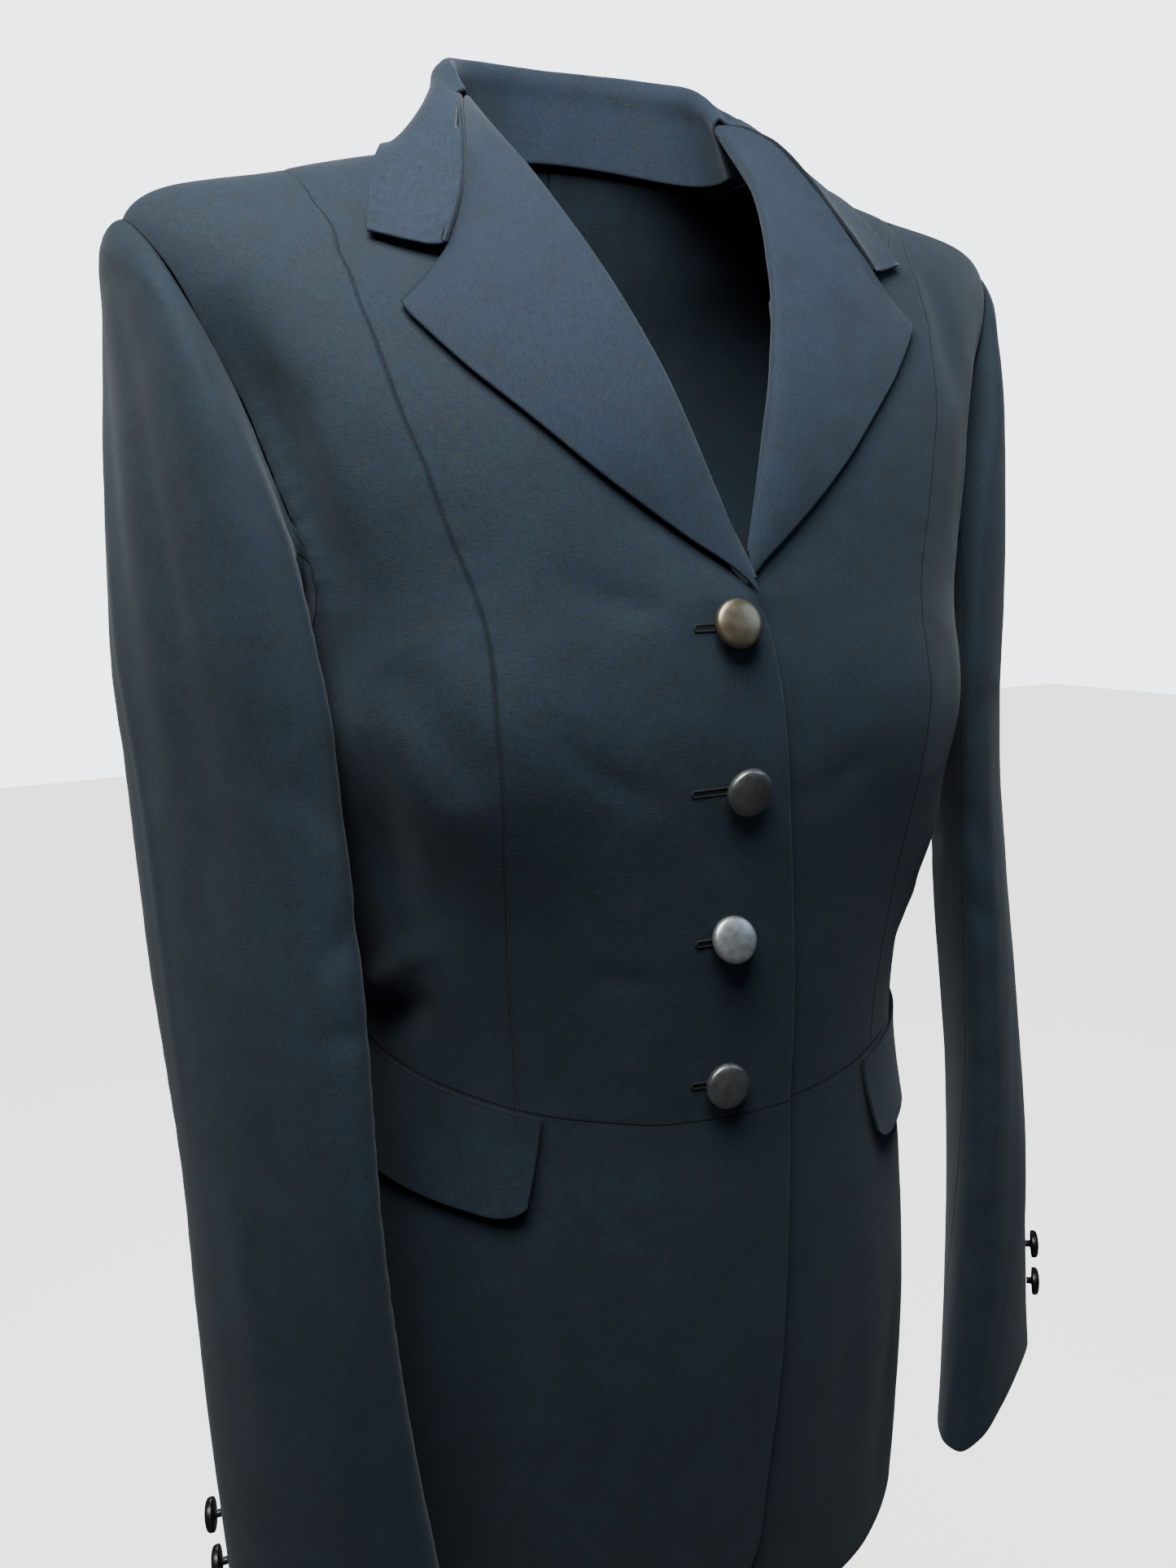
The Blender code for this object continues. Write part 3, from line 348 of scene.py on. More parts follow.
def body_point(angle, ring):
    """Points of the cloth's outer face. Angle is in degrees from centre front, positive to the left."""
    angle, ring = np.broadcast_arrays(np.asarray(angle, float), np.asarray(ring, float))
    z_front, z_side, z_back, half_width, y_front, y_middle, y_back, squareness = ring_sizes(ring)
    sine, cosine = np.sin(np.radians(angle)), np.cos(np.radians(angle))
    ahead = cosine > 0
    squareness = np.where(cosine < 0, BACK_SQUARENESS, squareness)
    across = np.sign(sine) * np.abs(sine) ** (2 / squareness)
    along = np.abs(cosine) ** (2 / squareness)
    y = y_middle + (np.where(ahead, y_front, y_back) - y_middle) * along
    z_end = np.where(ahead, z_front, z_back)
    z = z_end + (z_side - z_end) * sine**2
    out = skirt_wave(angle, z)
    for _, side, form_angle, height, angle_spread, height_spread, reach in FORMS:
        near = ((np.abs(angle) - form_angle) / angle_spread) ** 2 + ((z - height) / height_spread) ** 2
        out = out + np.where(side * angle < 0, 0.0, reach * np.exp(-near))
    x = half_width * across + out * sine
    lean = WAIST_LEAN * np.exp(-(((ring - WAIST) / WAIST_LEAN_REACH) ** 2))
    return np.stack([x, y - out * cosine, z - lean * x], axis=-1)


def body_normal(angle, ring):
    """The outward direction at places of the body."""
    ring = np.clip(ring, RING_STEP / 2, NECKLINE - RING_STEP / 2)
    around = body_point(angle + ANGLE_STEP, ring) - body_point(angle - ANGLE_STEP, ring)
    up = body_point(angle, ring + RING_STEP) - body_point(angle, ring - RING_STEP)
    normal = np.cross(around, up)
    return normal / np.linalg.norm(normal, axis=-1, keepdims=True)


def on_body(angle, ring, out=0.0):
    return body_point(angle, ring) + np.asarray(out)[..., None] * body_normal(angle, ring)


def angle_at_x(x, ring):
    """The angle at which the front of a ring has this x."""
    return halved(-89.0, 89.0, lambda angle: body_point(angle, ring)[0] < x)


def armhole_angle(ring, behind):
    """Where the armhole crosses a ring, in front of the arm or behind it."""
    share = max(0.0, 1.0 - ((ring - ARMHOLE_CENTRE) / ARMHOLE_REACH) ** 2) ** 0.5
    if behind:
        return 90.0 + ARMHOLE_BACK_ANGLE * share
    return 90.0 - smooth_table(ARMHOLE_FRONT, ring) * share


print("centre front at the waist is at", body_point(0.0, WAIST).round(4))

# %% [markdown]
# ## Rows and columns
#
# A seam looks sewn only if both of its pieces have the same points along it, so all panels above the waist
# share one list of rows. Near a seam or an edge the points crowd together, which gives the turn its round.

# %% Rows and shares of a row
BODICE_RUN, SKIRT_RUN = 0.062, 0.075    # metres of cloth from one ring number to the next
FRONT_WIDTH, SIDE_FRONT_WIDTH, SIDE_BACK_WIDTH, BACK_WIDTH = 0.085, 0.095, 0.10, 0.12
FRONT_SKIRT_WIDTH, BACK_SKIRT_WIDTH = 0.165, 0.22
END_ROOM = 0.05             # in ring numbers: rows this near an end stay as they are
ROW_ROOM = 0.016            # other rows keep this far from the rows at the armhole's points
LEAST_STEP = 0.0015         # two rows almost on top of each other would shade as a mark
ARMHOLE_TURNS = np.radians(np.arange(-90, 91, 4))


def crowded(start, end, spacing, reach):
    """Ring numbers from start to end, closer at both ends. reach is the length of one ring number."""
    middle = list(np.arange(start, end, spacing / reach)) + [end]
    near = [start + step / reach for step in EDGE_STEPS] + [end - step / reach for step in EDGE_STEPS]
    return sorted(set(round(ring, 5) for ring in middle + near if start <= ring <= end))


def bodice_rows(start, end):
    """The rows that every panel above the waist shares, so that its seams meet its neighbours' points."""
    armhole = [
        round(ring, 5) for ring in ARMHOLE_CENTRE + ARMHOLE_REACH * np.sin(ARMHOLE_TURNS)
        if start + END_ROOM < ring < end - END_ROOM]
    clear = [
        ring for ring in crowded(start, end, SPACING, BODICE_RUN)
        if min(ring - start, end - ring) < END_ROOM or min(abs(ring - row) for row in armhole) > ROW_ROOM]
    rows = sorted(set(clear + armhole))
    return [row for row, last in zip(rows, [start - 1] + rows) if row - last > LEAST_STEP]


def shares_across(width):
    """Shares of a row this wide, 3 mm apart in its middle and much closer at its two edges."""
    near = [step / width for step in EDGE_STEPS]
    even = list(np.linspace(0.0, 1.0, math.ceil(width / SPACING) + 1))
    return np.array(sorted(set(round(share, 5) for share in even + near + [1 - share for share in near])))


print("a row 10 cm wide has", len(shares_across(0.10)), "points")

# %% [markdown]
# ## Cloth with room for folds
#
# Cloth is woven, so its surface is a grid: threads along it and threads across. Each piece starts as a
# coarse grid of points on the body's curves, and a smooth curve through every row and column adds points
# about 3 mm apart. Close to each edge they lie much closer, so that the wall can turn over there in a
# half round, as a seamed or pressed edge does. Where two panels meet, the two rounds make the seam's valley.

# %% Smooth curves through a grid
CORNER = 0.80               # two chords whose directions agree less than this make a corner


def steps_between(lengths, least):
    """For stretches of these lengths, the stretch and the share of it at which each point lies."""
    places, last = [], len(lengths) - 1
    for i, length in enumerate(lengths):
        count = max(least, math.ceil(length / SPACING))
        near = [step / length for step in EDGE_STEPS if step < 0.8 * length]
        shares = [k / count for k in range(count)]
        if i == 0:
            shares += near
        if i == last:
            shares += [1 - share for share in near]
        places += [(i, share) for share in sorted(set(shares))]
    places.append((last, 1.0))
    return np.array([i for i, _ in places]), np.array([share for _, share in places])


def smoother(grid, least=1, corners=False):
    """The same grid with more columns, on smooth curves through its rows. corners keeps turns sharp."""
    chords = np.diff(grid, axis=1)
    lengths = np.maximum(np.linalg.norm(chords, axis=2), 1e-5)[..., None]
    rise = chords / lengths
    slopes = np.empty_like(grid)
    slopes[:, 1:-1] = (rise[:, :-1] * lengths[:, 1:] + rise[:, 1:] * lengths[:, :-1]) / (
        lengths[:, :-1] + lengths[:, 1:])
    slopes[:, 0] = 1.5 * rise[:, 0] - 0.5 * slopes[:, 1]
    slopes[:, -1] = 1.5 * rise[:, -1] - 0.5 * slopes[:, -2]
    before, after = slopes.copy(), slopes.copy()
    if corners:
        sharp = (rise[:, :-1] * rise[:, 1:]).sum(axis=2, keepdims=True) < CORNER
        before[:, 1:-1] = np.where(sharp, rise[:, :-1], slopes[:, 1:-1])
        after[:, 1:-1] = np.where(sharp, rise[:, 1:], slopes[:, 1:-1])
    i, t = steps_between(lengths.mean(axis=0)[:, 0], least)
    t = t[None, :, None]
    return (
        (2 * t**3 - 3 * t**2 + 1) * grid[:, i] + (t**3 - 2 * t**2 + t) * lengths[:, i] * after[:, i]
        + (3 * t**2 - 2 * t**3) * grid[:, i + 1] + (t**3 - t**2) * lengths[:, i] * before[:, i + 1]
    )


def fine_grid(rows, least=(1, 1), corners=False):
    """A coarse grid made fine both ways. least is the fewest steps between two columns and two rows."""
    grid = smoother(np.array(rows, float), least[0])
    return smoother(grid.transpose(1, 0, 2), least[1], corners).transpose(1, 0, 2)


def facing(grid, outside):
    """The outward direction at every point of a grid."""
    normal = np.cross(np.gradient(grid, axis=1), np.gradient(grid, axis=0)) * outside
    return normal / np.maximum(np.linalg.norm(normal, axis=2), 1e-12)[..., None]


def run_along(grid):
    """How far each point lies along its row, in metres."""
    run = np.zeros(grid.shape[:2])
    run[:, 1:] = np.cumsum(np.linalg.norm(np.diff(grid, axis=1), axis=2), axis=1)
    return run


print("a 20 mm stretch is split into", len(steps_between([0.02], 1)[0]) - 1, "steps")

# %% [markdown]
# ## Folds and the life of the cloth
#
# A soft fold is a line on the cloth with a width and a depth that change along it. The cloth sinks or
# rises by a smooth bell curve across that line, and the fold dies away at its ends. The lines are kept
# in lists for the body and for each sleeve and filled in below, each with its own sizes.
#
# Under them lies a slow unevenness of a third of a millimetre, as pressed wool has, and a slight pucker
# along the seams, where the thread draws the cloth in.

# %% Folds
FOLDS = {"body": [], "right sleeve": [], "left sleeve": []}
FOLD_POINTS = 16            # about as many points stand for the line of a fold
FOLD_REACH = 0.25           # a piece that is farther than this from a fold is not touched by it


def add_fold(cloth, line, widths, depth, ends=(1.0, 1.0)):
    """A fold along a line of points. depth is negative for a trough. ends: 1 fades out there, 0 runs on."""
    line = smoother(np.array([line], float), 4)[0]
    line = line[:: max(1, len(line) // FOLD_POINTS)]
    FOLDS[cloth].append((line, widths, depth, ends))


def fold_depth(points, folds):
    """How far the cloth rises at each point of a grid, or sinks, for all the folds that reach it."""
    total = np.zeros(points.shape[:2])
    for line, widths, depth, ends in folds:
        if np.linalg.norm(points - line.mean(axis=0), axis=2).min() > FOLD_REACH:
            continue
        nearest = np.full(points.shape[:2], np.inf)
        along = np.zeros(points.shape[:2])
        pieces = [np.linalg.norm(b - a) for a, b in zip(line, line[1:])]
        passed = 0.0
        for a, b, length in zip(line, line[1:], pieces):
            way = (b - a) / length
            t = np.clip((points - a) @ way / length, 0.0, 1.0)
            distance = np.linalg.norm(points - (a + t[..., None] * (b - a)), axis=2)
            along = np.where(distance < nearest, (passed + t * length) / sum(pieces), along)
            nearest = np.minimum(nearest, distance)
            passed += length
        width = widths[0] + (widths[1] - widths[0]) * along
        fade = 1 - np.where(along < 0.5, ends[0] * (1 - 2 * along) ** 2, ends[1] * (2 * along - 1) ** 2)
        total += depth * np.maximum(fade, 0.0) * np.exp(-((nearest / width) ** 2))
    return total


print("folds are kept for", ", ".join(FOLDS))

# %% [markdown]
# ## Unevenness and pucker
#
# The waviness is noise read at each point's place in space, so two pieces that meet at a seam share it. A
# tape holds the cloth still along the armholes, and the pucker fades within a centimetre of a seam.

# %% Unevenness, pucker and the armhole's tape
TAPE_WIDTH = 0.006
WAVES = ((19.0, 0.00042), (58.0, 0.00014))      # waves to a metre, height of a wave
PUCKER, PUCKER_REACH = 0.00016, 0.0065


def held_by_seam(points):
    """0 on the two armhole seams, where a tape holds the cloth, and 1 a centimetre or two away from them."""
    seams = np.array([armhole_point(side, turn) for side in (-1, 1) for turn in range(0, 360, 6)])
    distance = np.sqrt(((points[..., None, :] - seams) ** 2).sum(axis=3)).min(axis=2)
    return 1 - np.exp(-((distance / TAPE_WIDTH) ** 2))


def unevenness(points):
    """A slow, slight waviness that neighbouring pieces share at their seams."""
    made = np.zeros(points.shape[:2])
    for r, row in enumerate(points):
        for c, point in enumerate(row):
            for often, high in WAVES:
                made[r, c] += high * mathutils.noise.noise(mathutils.Vector(point * often))
    return made


def pucker(points, from_edge):
    """Short ripples square to an edge, which fade within a centimetre of it."""
    z = points[..., 2]
    wave = np.sin(z * 390.0 + 2.2 * np.sin(z * 61.0)) * (0.6 + 0.4 * np.sin(z * 23.0))
    return PUCKER * wave * np.exp(-((from_edge / PUCKER_REACH) ** 2))


print("the waviness is at most about", round(sum(high for _, high in WAVES) * 1000, 2), "mm high")

# %% [markdown]
# ## Laying a piece of cloth
#
# This helper takes a piece's grid and makes the finished wall: it presses the folds in, rounds all four
# edges to the middle of the wall's thickness, and closes the back. Its own map of U and V is in metres along
# the weave, so that the threads follow the piece. Every piece moves with the coat and prints the flat area
# that it is cut to.

# %% From a grid to a wall of cloth
SIDES = ((-1, "right"), (1, "left"))
SEAM_DIP = 0.00030          # how deep a sewn edge sinks: a free edge turns over half the wall
# painted shade: the next value is how far the darkening along a seam reaches
PAINTED_SEAM_SHADE_REACH = 0.00065        # how far the dark of a seam reaches


def wall_faces(rows, columns, outside):
    """The four-sided faces of a closed wall. Its front and its back share the points round its rim."""
    index = np.arange(rows * columns).reshape(rows, columns)
    behind = index.copy()
    inner = (rows - 2, columns - 2)
    behind[1:-1, 1:-1] = rows * columns + np.arange(inner[0] * inner[1]).reshape(inner)
    faces = []
    for of, flip in ((index, outside < 0), (behind, outside > 0)):
        made = np.stack([of[:-1, :-1], of[:-1, 1:], of[1:, 1:], of[1:, :-1]], axis=2).reshape(-1, 4)
        faces.append(made[:, ::-1] if flip else made)
    return np.concatenate(faces)


def both_faces(outer, inner):
    """Values at the points of the outer face and of the inside of the inner face, which share their rim."""
    return np.concatenate([outer.reshape(rows_of(outer)), inner[1:-1, 1:-1].reshape(rows_of(inner))])


def rows_of(values):
    return (-1, values.shape[2]) if values.ndim == 3 else (-1,)


def lay(
    name, grid, thickness, outside, cut, folds="body",
    seams=(1, 1, 1, 1), puckered=1.0,
):
    """One piece of cloth. cut: width, length, flat area. seams: its left, right, first and last edges."""
    normal = facing(grid, outside)
    across, down = run_along(grid), run_along(grid.transpose(1, 0, 2)).T
    from_edges = [across, across[:, -1:] - across, down, down[-1:, :] - down]
    sewn_edges = np.array(seams, bool)
    risen = (fold_depth(grid, FOLDS[folds]) + unevenness(grid)) * held_by_seam(grid)
    for is_seam, distance in zip(seams, from_edges):
        risen += is_seam * puckered * pucker(grid, distance)
    points = grid + normal * risen[..., None]

    half = thickness / 2
    nearest = np.minimum.reduce(from_edges)
    low = np.where(sewn_edges, SEAM_DIP, half)[np.argmin(from_edges, axis=0)]
    turned = 1 - np.sqrt(1 - (1 - np.clip(nearest / half, 0.0, 1.0)) ** 2)
    outer = points - normal * (low * turned)[..., None]
    inner = points - normal * (thickness - (thickness - low) * turned)[..., None]

    rows, columns = nearest.shape
    middle = columns // 2
    u = across - across[:, middle, None]
    uv = np.stack([u, np.broadcast_to(down[:, middle, None], down.shape)], axis=2)
    mesh = bpy.data.meshes.new(name)
    mesh.from_pydata(both_faces(outer, inner).tolist(), [], wall_faces(rows, columns, outside).tolist())
    layer = mesh.uv_layers.new(name="weave")
    corners = np.empty(len(mesh.loops), dtype=np.int32)
    mesh.loops.foreach_get("vertex_index", corners)
    layer.data.foreach_set("uv", both_faces(uv, uv)[corners].astype(np.float32).ravel())
    # Painted shade: the seam attribute is 1 on a sewn edge and fades within a millimetre. The wool darkens
    # the cloth by it, a painted shadow in the seam's valley, and makes it rougher there.
    to_seam = np.where(sewn_edges[:, None, None], np.array(from_edges), 1.0).min(axis=0)
    sewn = np.exp(-((to_seam / PAINTED_SEAM_SHADE_REACH) ** 2)).astype(np.float32)
    mesh.attributes.new("seam", "FLOAT", "POINT").data.foreach_set("value", both_faces(sewn, sewn))
    mesh.shade_smooth()

    obj = bpy.data.objects.new(name, mesh)
    bpy.context.scene.collection.objects.link(obj)
    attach(obj, "root")
    diagonals = np.cross(outer[1:, 1:] - outer[:-1, :-1], outer[1:, :-1] - outer[:-1, 1:])
    area = 0.5 * float(np.linalg.norm(diagonals, axis=2).sum())
    print(
        f"{name}: {rows} x {columns} points, {across[:, -1].max():.3f} x {down[-1].max():.3f} m,",
        f"{area:.4f} m2 of cloth, cut {cut[2]:.4f}")
    return obj


print("a sewn edge sinks by", SEAM_DIP * 1000, "mm")

# %% [markdown]
# ## Panels of the body
#
# Every panel of the body is a grid between two seams. A row runs round the body at one ring number, from
# the angle of one seam to that of the next, and the rows run from the waist or the hem up.

# %% A panel between two seams
def panel(side, rings, start, end, width, out=None):
    """A body panel's grid. start and end give its edges' angles at a ring. side is 1 for the left."""
    shares, grid = shares_across(width), []
    for ring in rings:
        angles = start(ring) + (end(ring) - start(ring)) * shares
        grid.append(on_body(side * angles, ring, out(angles, ring) if out else 0.0))
    return np.array(grid)


print("a row of the back has", len(shares_across(BACK_WIDTH)), "points")

# %% [markdown]
# ## The fronts and the fold of the lapel
#
# The right front lies on the left one, so it stands out by a little more than a wall of cloth. From the
# break up, each front rises gently to the fold of its lapel, and its own edge stops short of that fold,
# which leaves room for the lapel's cloth to turn.

# %% The lapel's fold
LAP_START, LAP_WIDTH = -0.062, 0.034    # x at which the right front begins to rise, and how far it takes
LAP_FADE = 0.8              # in ring numbers above the break
BREAK_BLEND = 0.3           # in ring numbers below the break


def fold_shift(share):
    """Both folds lie a little towards the wearer's left, less so at the neck."""
    return FOLD_SHIFT * (1.0 - 0.5 * max(0.0, (share - LEAVES_FRONT) / (1 - LEAVES_FRONT)))


def roll_point(side, share):
    """The fold of the lapel, on the wearer's left for side 1 and right for side -1."""
    half_gap, y, z = (smooth_table(ROLL_LINE, share, column) for column in (1, 2, 3))
    return np.array([side * half_gap + fold_shift(share), y, z])


def fold_share(ring):
    """How far up the fold this ring meets it."""
    return halved(0.0, LEAVES_FRONT, lambda share: smooth_table(ROLL_LINE, share, 4) < ring)


print("the fold of the left lapel starts at", roll_point(1, 0.0).round(4))

# %% [markdown]
# ## The fronts
#
# The lapel's cloth turns back from the edge of the front, so the front's surface leaves the body there. The
# same function gives the surface that the lapel lies on, with the lapel's own distance added.

# %% Fronts
def front_edge_x(side, ring):
    return smooth_table(FRONT_EDGE, ring, 2 if side > 0 else 1)


def overlap_raise(side, angle, ring):
    """The right front stands out where it lies on the left one, up to the break of the lapels."""
    if side > 0:
        return np.zeros(np.shape(angle))
    x = body_point(side * angle, ring)[..., 0]
    lapped = eased(np.clip((x - LAP_START) / LAP_WIDTH, 0.0, 1.0))
    return OVERLAP_RAISE * lapped * np.clip(1.0 - (ring - BREAK) / LAP_FADE, 0.0, 1.0)


def above_break(ring):
    """0 well below the break of the lapels, and 1 from the break up."""
    return eased(min(1.0, max(0.0, (ring - BREAK + BREAK_BLEND) / BREAK_BLEND)))


def front_seam(ring):
    """The angle at which a front ends, at the princess seam and then at the shoulder seam."""
    return smooth_table(PRINCESS_SEAM, ring) if ring < PRINCESS_TOP else SHOULDER_SEAM_ANGLE


def front_surface(side, angle, ring, out=0.0):
    """Points on a front's outer face, or off it. By the break it begins to rise to the fold of its lapel."""
    point = on_body(side * angle, ring, overlap_raise(side, angle, ring) + out)
    if above_break(ring) == 0.0:
        return point
    share = fold_share(ring)
    inner = smooth_table(ROLL_LINE, share, 5)
    shift = roll_point(side, share) - on_body(side * inner, max(ring, BREAK), TURNED_CLOTH + LAYER_GAP)
    across = np.maximum(0.0, (angle - inner) / (front_seam(ring) - inner))
    return point + shift * (np.maximum(0.0, 1 - across) ** 2)[..., None] * above_break(ring)


def front(side):
    """The centre front: from the waist seam up to the neckline and shoulder seam."""
    shares, grid = shares_across(FRONT_WIDTH), []
    for ring in bodice_rows(WAIST, NECKLINE):
        inner = smooth_table(ROLL_LINE, fold_share(ring), 5)
        if ring < BREAK:
            edge = side * angle_at_x(front_edge_x(side, ring), ring)
            inner = edge + (inner - edge) * above_break(ring)
        row = front_surface(side, inner + (front_seam(ring) - inner) * shares, ring)
        if ring > BREAK:        # leaves room for the lapel to turn round the fold
            drawn = min(1.0, (ring - BREAK) / BREAK_BLEND) * FOLD_ROOM
            inwards = row[-1] - row[0]
            row = row + inwards * (drawn / np.linalg.norm(inwards) * (1 - shares) ** 3)[:, None]
        grid.append(row)
    return np.array(grid)


print("the right front stands out by", OVERLAP_RAISE * 1000, "mm where it laps the left one")

# %% [markdown]
# ## The side fronts, side backs and backs
#
# The side front takes the bust's shape along the princess seam and has the front of the armhole. The side
# back ends in a point at the armhole, and the two backs meet in a seam down the middle.

# %% Side fronts, side backs and backs
def side_front(side):
    """The side front: from the princess seam to the side seam, armhole and shoulder seam."""
    def outer(ring):
        if ring < ARMHOLE_BOTTOM:
            return SIDE_SEAM_ANGLE
        return armhole_angle(ring, False) if ring < SHOULDER else SHOULDER_SEAM_ANGLE

    rows = bodice_rows(WAIST, PRINCESS_TOP - TIP_ROOM / 2)
    return panel(side, rows, lambda ring: smooth_table(PRINCESS_SEAM, ring), outer, SIDE_FRONT_WIDTH)


def side_back(side):
    """The side back: from the side seam to the back seam, ending in a point at the armhole."""
    def outer(ring):
        return SIDE_SEAM_ANGLE if ring < ARMHOLE_BOTTOM else armhole_angle(ring, True)

    rows = bodice_rows(WAIST, BACK_SEAM_TOP - TIP_ROOM)
    return panel(side, rows, outer, lambda ring: smooth_table(BACK_SEAM, ring), SIDE_BACK_WIDTH)


def back(side):
    """The back: from the centre back seam to the back seam, armhole and shoulder seam."""
    def outer(ring):
        if ring < BACK_SEAM_TOP:
            return smooth_table(BACK_SEAM, ring)
        return armhole_angle(ring, True) if ring < SHOULDER else SHOULDER_SEAM_ANGLE

    return panel(side, bodice_rows(WAIST, NECKLINE), outer, lambda ring: CENTRE_BACK, BACK_WIDTH)


print("a bodice panel has", len(bodice_rows(WAIST, NECKLINE)), "rows up to the neckline")

# %% [markdown]
# ## The skirts
#
# The front skirt carries on the front edge and rounds it away at the hem, so its lowest rows lie close
# together. The back skirts run on past centre back below the top of the vent, the left one outside.

# %% Skirt panels
ROUNDED_ROWS = [0.01, 0.02, 0.03, 0.05, 0.07, 0.10, 0.15]   # ring numbers by the hem's rounded corner
VENT_TOP, VENT_OPENING = 2.9, 0.3       # ring numbers: where the vent starts, and over how much it opens
VENT_RAISE_TOP, VENT_RAISE_RUN = 3.3, 0.5           # the left skirt stands out below this ring number
VENT_RAISE_ANGLE, VENT_RAISE_SPREAD = 166.0, 9.0    # and past this angle
LEFT_LAP, RIGHT_LAP = 0.5, 0.35         # shares of the overlap that each side runs past the centre


def front_skirt(side):
    """The front skirt: below the waist seam, from the rounded front edge to the side seam."""
    shares, grid = shares_across(FRONT_SKIRT_WIDTH), []
    for ring in sorted(set(crowded(HEM, WAIST, SPACING, SKIRT_RUN) + ROUNDED_ROWS)):
        inner = side * angle_at_x(front_edge_x(side, ring), ring)
        angles = inner + (SIDE_SEAM_ANGLE - inner) * shares
        grid.append(on_body(side * angles, ring, overlap_raise(side, angles, ring)))
    return np.array(grid)


def back_skirt(side):
    """The back skirt: from the side seam to the centre vent, where the left laps the right."""
    lap = math.degrees(VENT_OVERLAP / SKIRT_BACK_RADIUS)

    def vent_edge(ring):
        """Below the top of the vent the left skirt runs on past the centre, and the right one under it."""
        opened = min(1.0, max(0.0, (VENT_TOP - ring) / VENT_OPENING))
        return CENTRE_BACK + lap * (LEFT_LAP if side > 0 else RIGHT_LAP) * opened

    def vent_raise(angle, ring):
        """The left skirt lies outside the right one."""
        if side < 0:
            return np.zeros(np.shape(angle))
        near = eased(np.clip((angle - VENT_RAISE_ANGLE) / VENT_RAISE_SPREAD, 0.0, 1.0))
        return OVERLAP_RAISE * near * min(1.0, max(0.0, (VENT_RAISE_TOP - ring) / VENT_RAISE_RUN))

    rows = crowded(HEM, WAIST, SPACING, SKIRT_RUN)
    return panel(side, rows, lambda ring: SIDE_SEAM_ANGLE, vent_edge, BACK_SKIRT_WIDTH, vent_raise)


print("a front skirt has", len(front_skirt(1)), "rows from hem to waist")

# %% [markdown]
# ## The lapel's sections
#
# A section of the lapel starts at the fold, springs a little off the front as pressed wool does, and comes
# down to the lapel's edge. At its inner end it turns round the fold in a half round and is caught behind it.

# %% Lapel
SPRING_START, SPRING_RUN = 0.12, 0.80   # shares of a half wave that the spring of the lapel follows
LAPEL_SHARES = [0.03, 0.08, 0.14, 0.21, 0.29, 0.37, 0.46, 0.55, 0.64, 0.73, 0.82, 0.90, 0.955, 1.0]
FOLD_TURNS = (-90, -60, -30, 0, 30, 60, 90)
FOLD_STRIP = (0.0058, 0.0025)           # how far the caught strip reaches in behind the fold
WRAP_START, WRAP_RUN, LEAST_WRAP = 0.14, 0.16, 0.08     # near the break the fold opens over this share


def top_bend(t):
    """How far the top of the lapel strays from a straight way between its ends, as ring and angle."""
    first, last = LAPEL_TOP[0], LAPEL_TOP[-1]
    return [smooth_table(LAPEL_TOP, t, i) - (first[i] + (last[i] - first[i]) * t) for i in (1, 2)]


def lapel_row(side, share):
    """One section of the lapel's outer face, from its fold to its edge, springing a little off the front."""
    fold_ring, fold_angle = (smooth_table(ROLL_LINE, share, column) for column in (4, 5))
    edge_ring, edge_angle = (smooth_table(LAPEL_EDGE, share, column) for column in (1, 2))
    spring = LAPEL_LIFT * min(1.0, share * 3)

    def lying(t):
        ring = fold_ring + (edge_ring - fold_ring) * t
        angle = fold_angle + (edge_angle - fold_angle) * t
        bend_ring, bend_angle = top_bend(t)
        ring, angle = ring + bend_ring * share**4, angle + bend_angle * share**4
        lift = spring * math.sin(math.pi * min(1.0, SPRING_START + t * SPRING_RUN)) * t**0.3
        return front_surface(side, angle, ring, TURNED_CLOTH + LAYER_GAP + lift)

    raised = body_normal(side * fold_angle, fold_ring) * overlap_raise(side, fold_angle, fold_ring)
    return lambda t: lying(t) + (roll_point(side, share) + raised - lying(0.0)) * (1 - t) ** 2


def turned_in(under, row, wrap):
    """Carries a row of the lapel round the fold, in a half round, to a strip on the wearer's side."""
    outwards = row[0] - row[2]
    reach = float(np.linalg.norm(outwards))
    outwards /= reach
    radius = min((TURNED_CLOTH + CLOTH / 2 + LAYER_GAP) * (0.35 + 0.60 * wrap), 0.5 * reach)
    middle = row[0] - (outwards + under) * radius
    round_fold = [
        middle + outwards * radius * math.cos(turn) + under * radius * math.sin(turn)
        for turn in np.radians(FOLD_TURNS)]
    return [round_fold[0] - outwards * strip * wrap for strip in FOLD_STRIP] + round_fold + row[2:]


def lapel_grid(side):
    """The lapel: from inside the fold, round it, and back over the front to the lapel's edge."""
    grid = []
    for share in LAPEL_SHARES[1 if side > 0 else 0:]:
        at = lapel_row(side, share)
        fold_ring, fold_angle = (smooth_table(ROLL_LINE, share, column) for column in (4, 5))
        wrap = min(1.0, max(LEAST_WRAP, (share - WRAP_START) / WRAP_RUN))
        grid.append(turned_in(body_normal(side * fold_angle, fold_ring), [at(t) for t in LAPEL_STEPS], wrap))
    return grid


sections = lapel_grid(-1)
print("the right lapel starts as", len(sections), "sections of", len(sections[0]), "points")

# %% [markdown]
# ## The collar's sections
#
# The collar is a stand that rises inside the neck, a crease, and a fall that lies over the back and
# shoulders. Its two front sections follow the top of the lapels as far as the notch.

# %% Collar
COLLAR_STATIONS = [
    0.0, 0.02, 0.045, 0.08, 0.125, 0.17, 0.215, 0.26, 0.32, 0.38, 0.45, 0.52, 0.60, 0.68, 0.76, 0.84, 0.92,
]
STAND_SHARES = (0.0, 0.35, 0.70, 1.0)   # of the stand's height
FOOT_LIFT = 0.0008          # the stand starts this far above the edge of the neck
CREASE_ROUND = 0.9          # share of the fold's size at which it turns
GORGE_REACH = 0.08          # stations over which the collar leaves the lapel's top


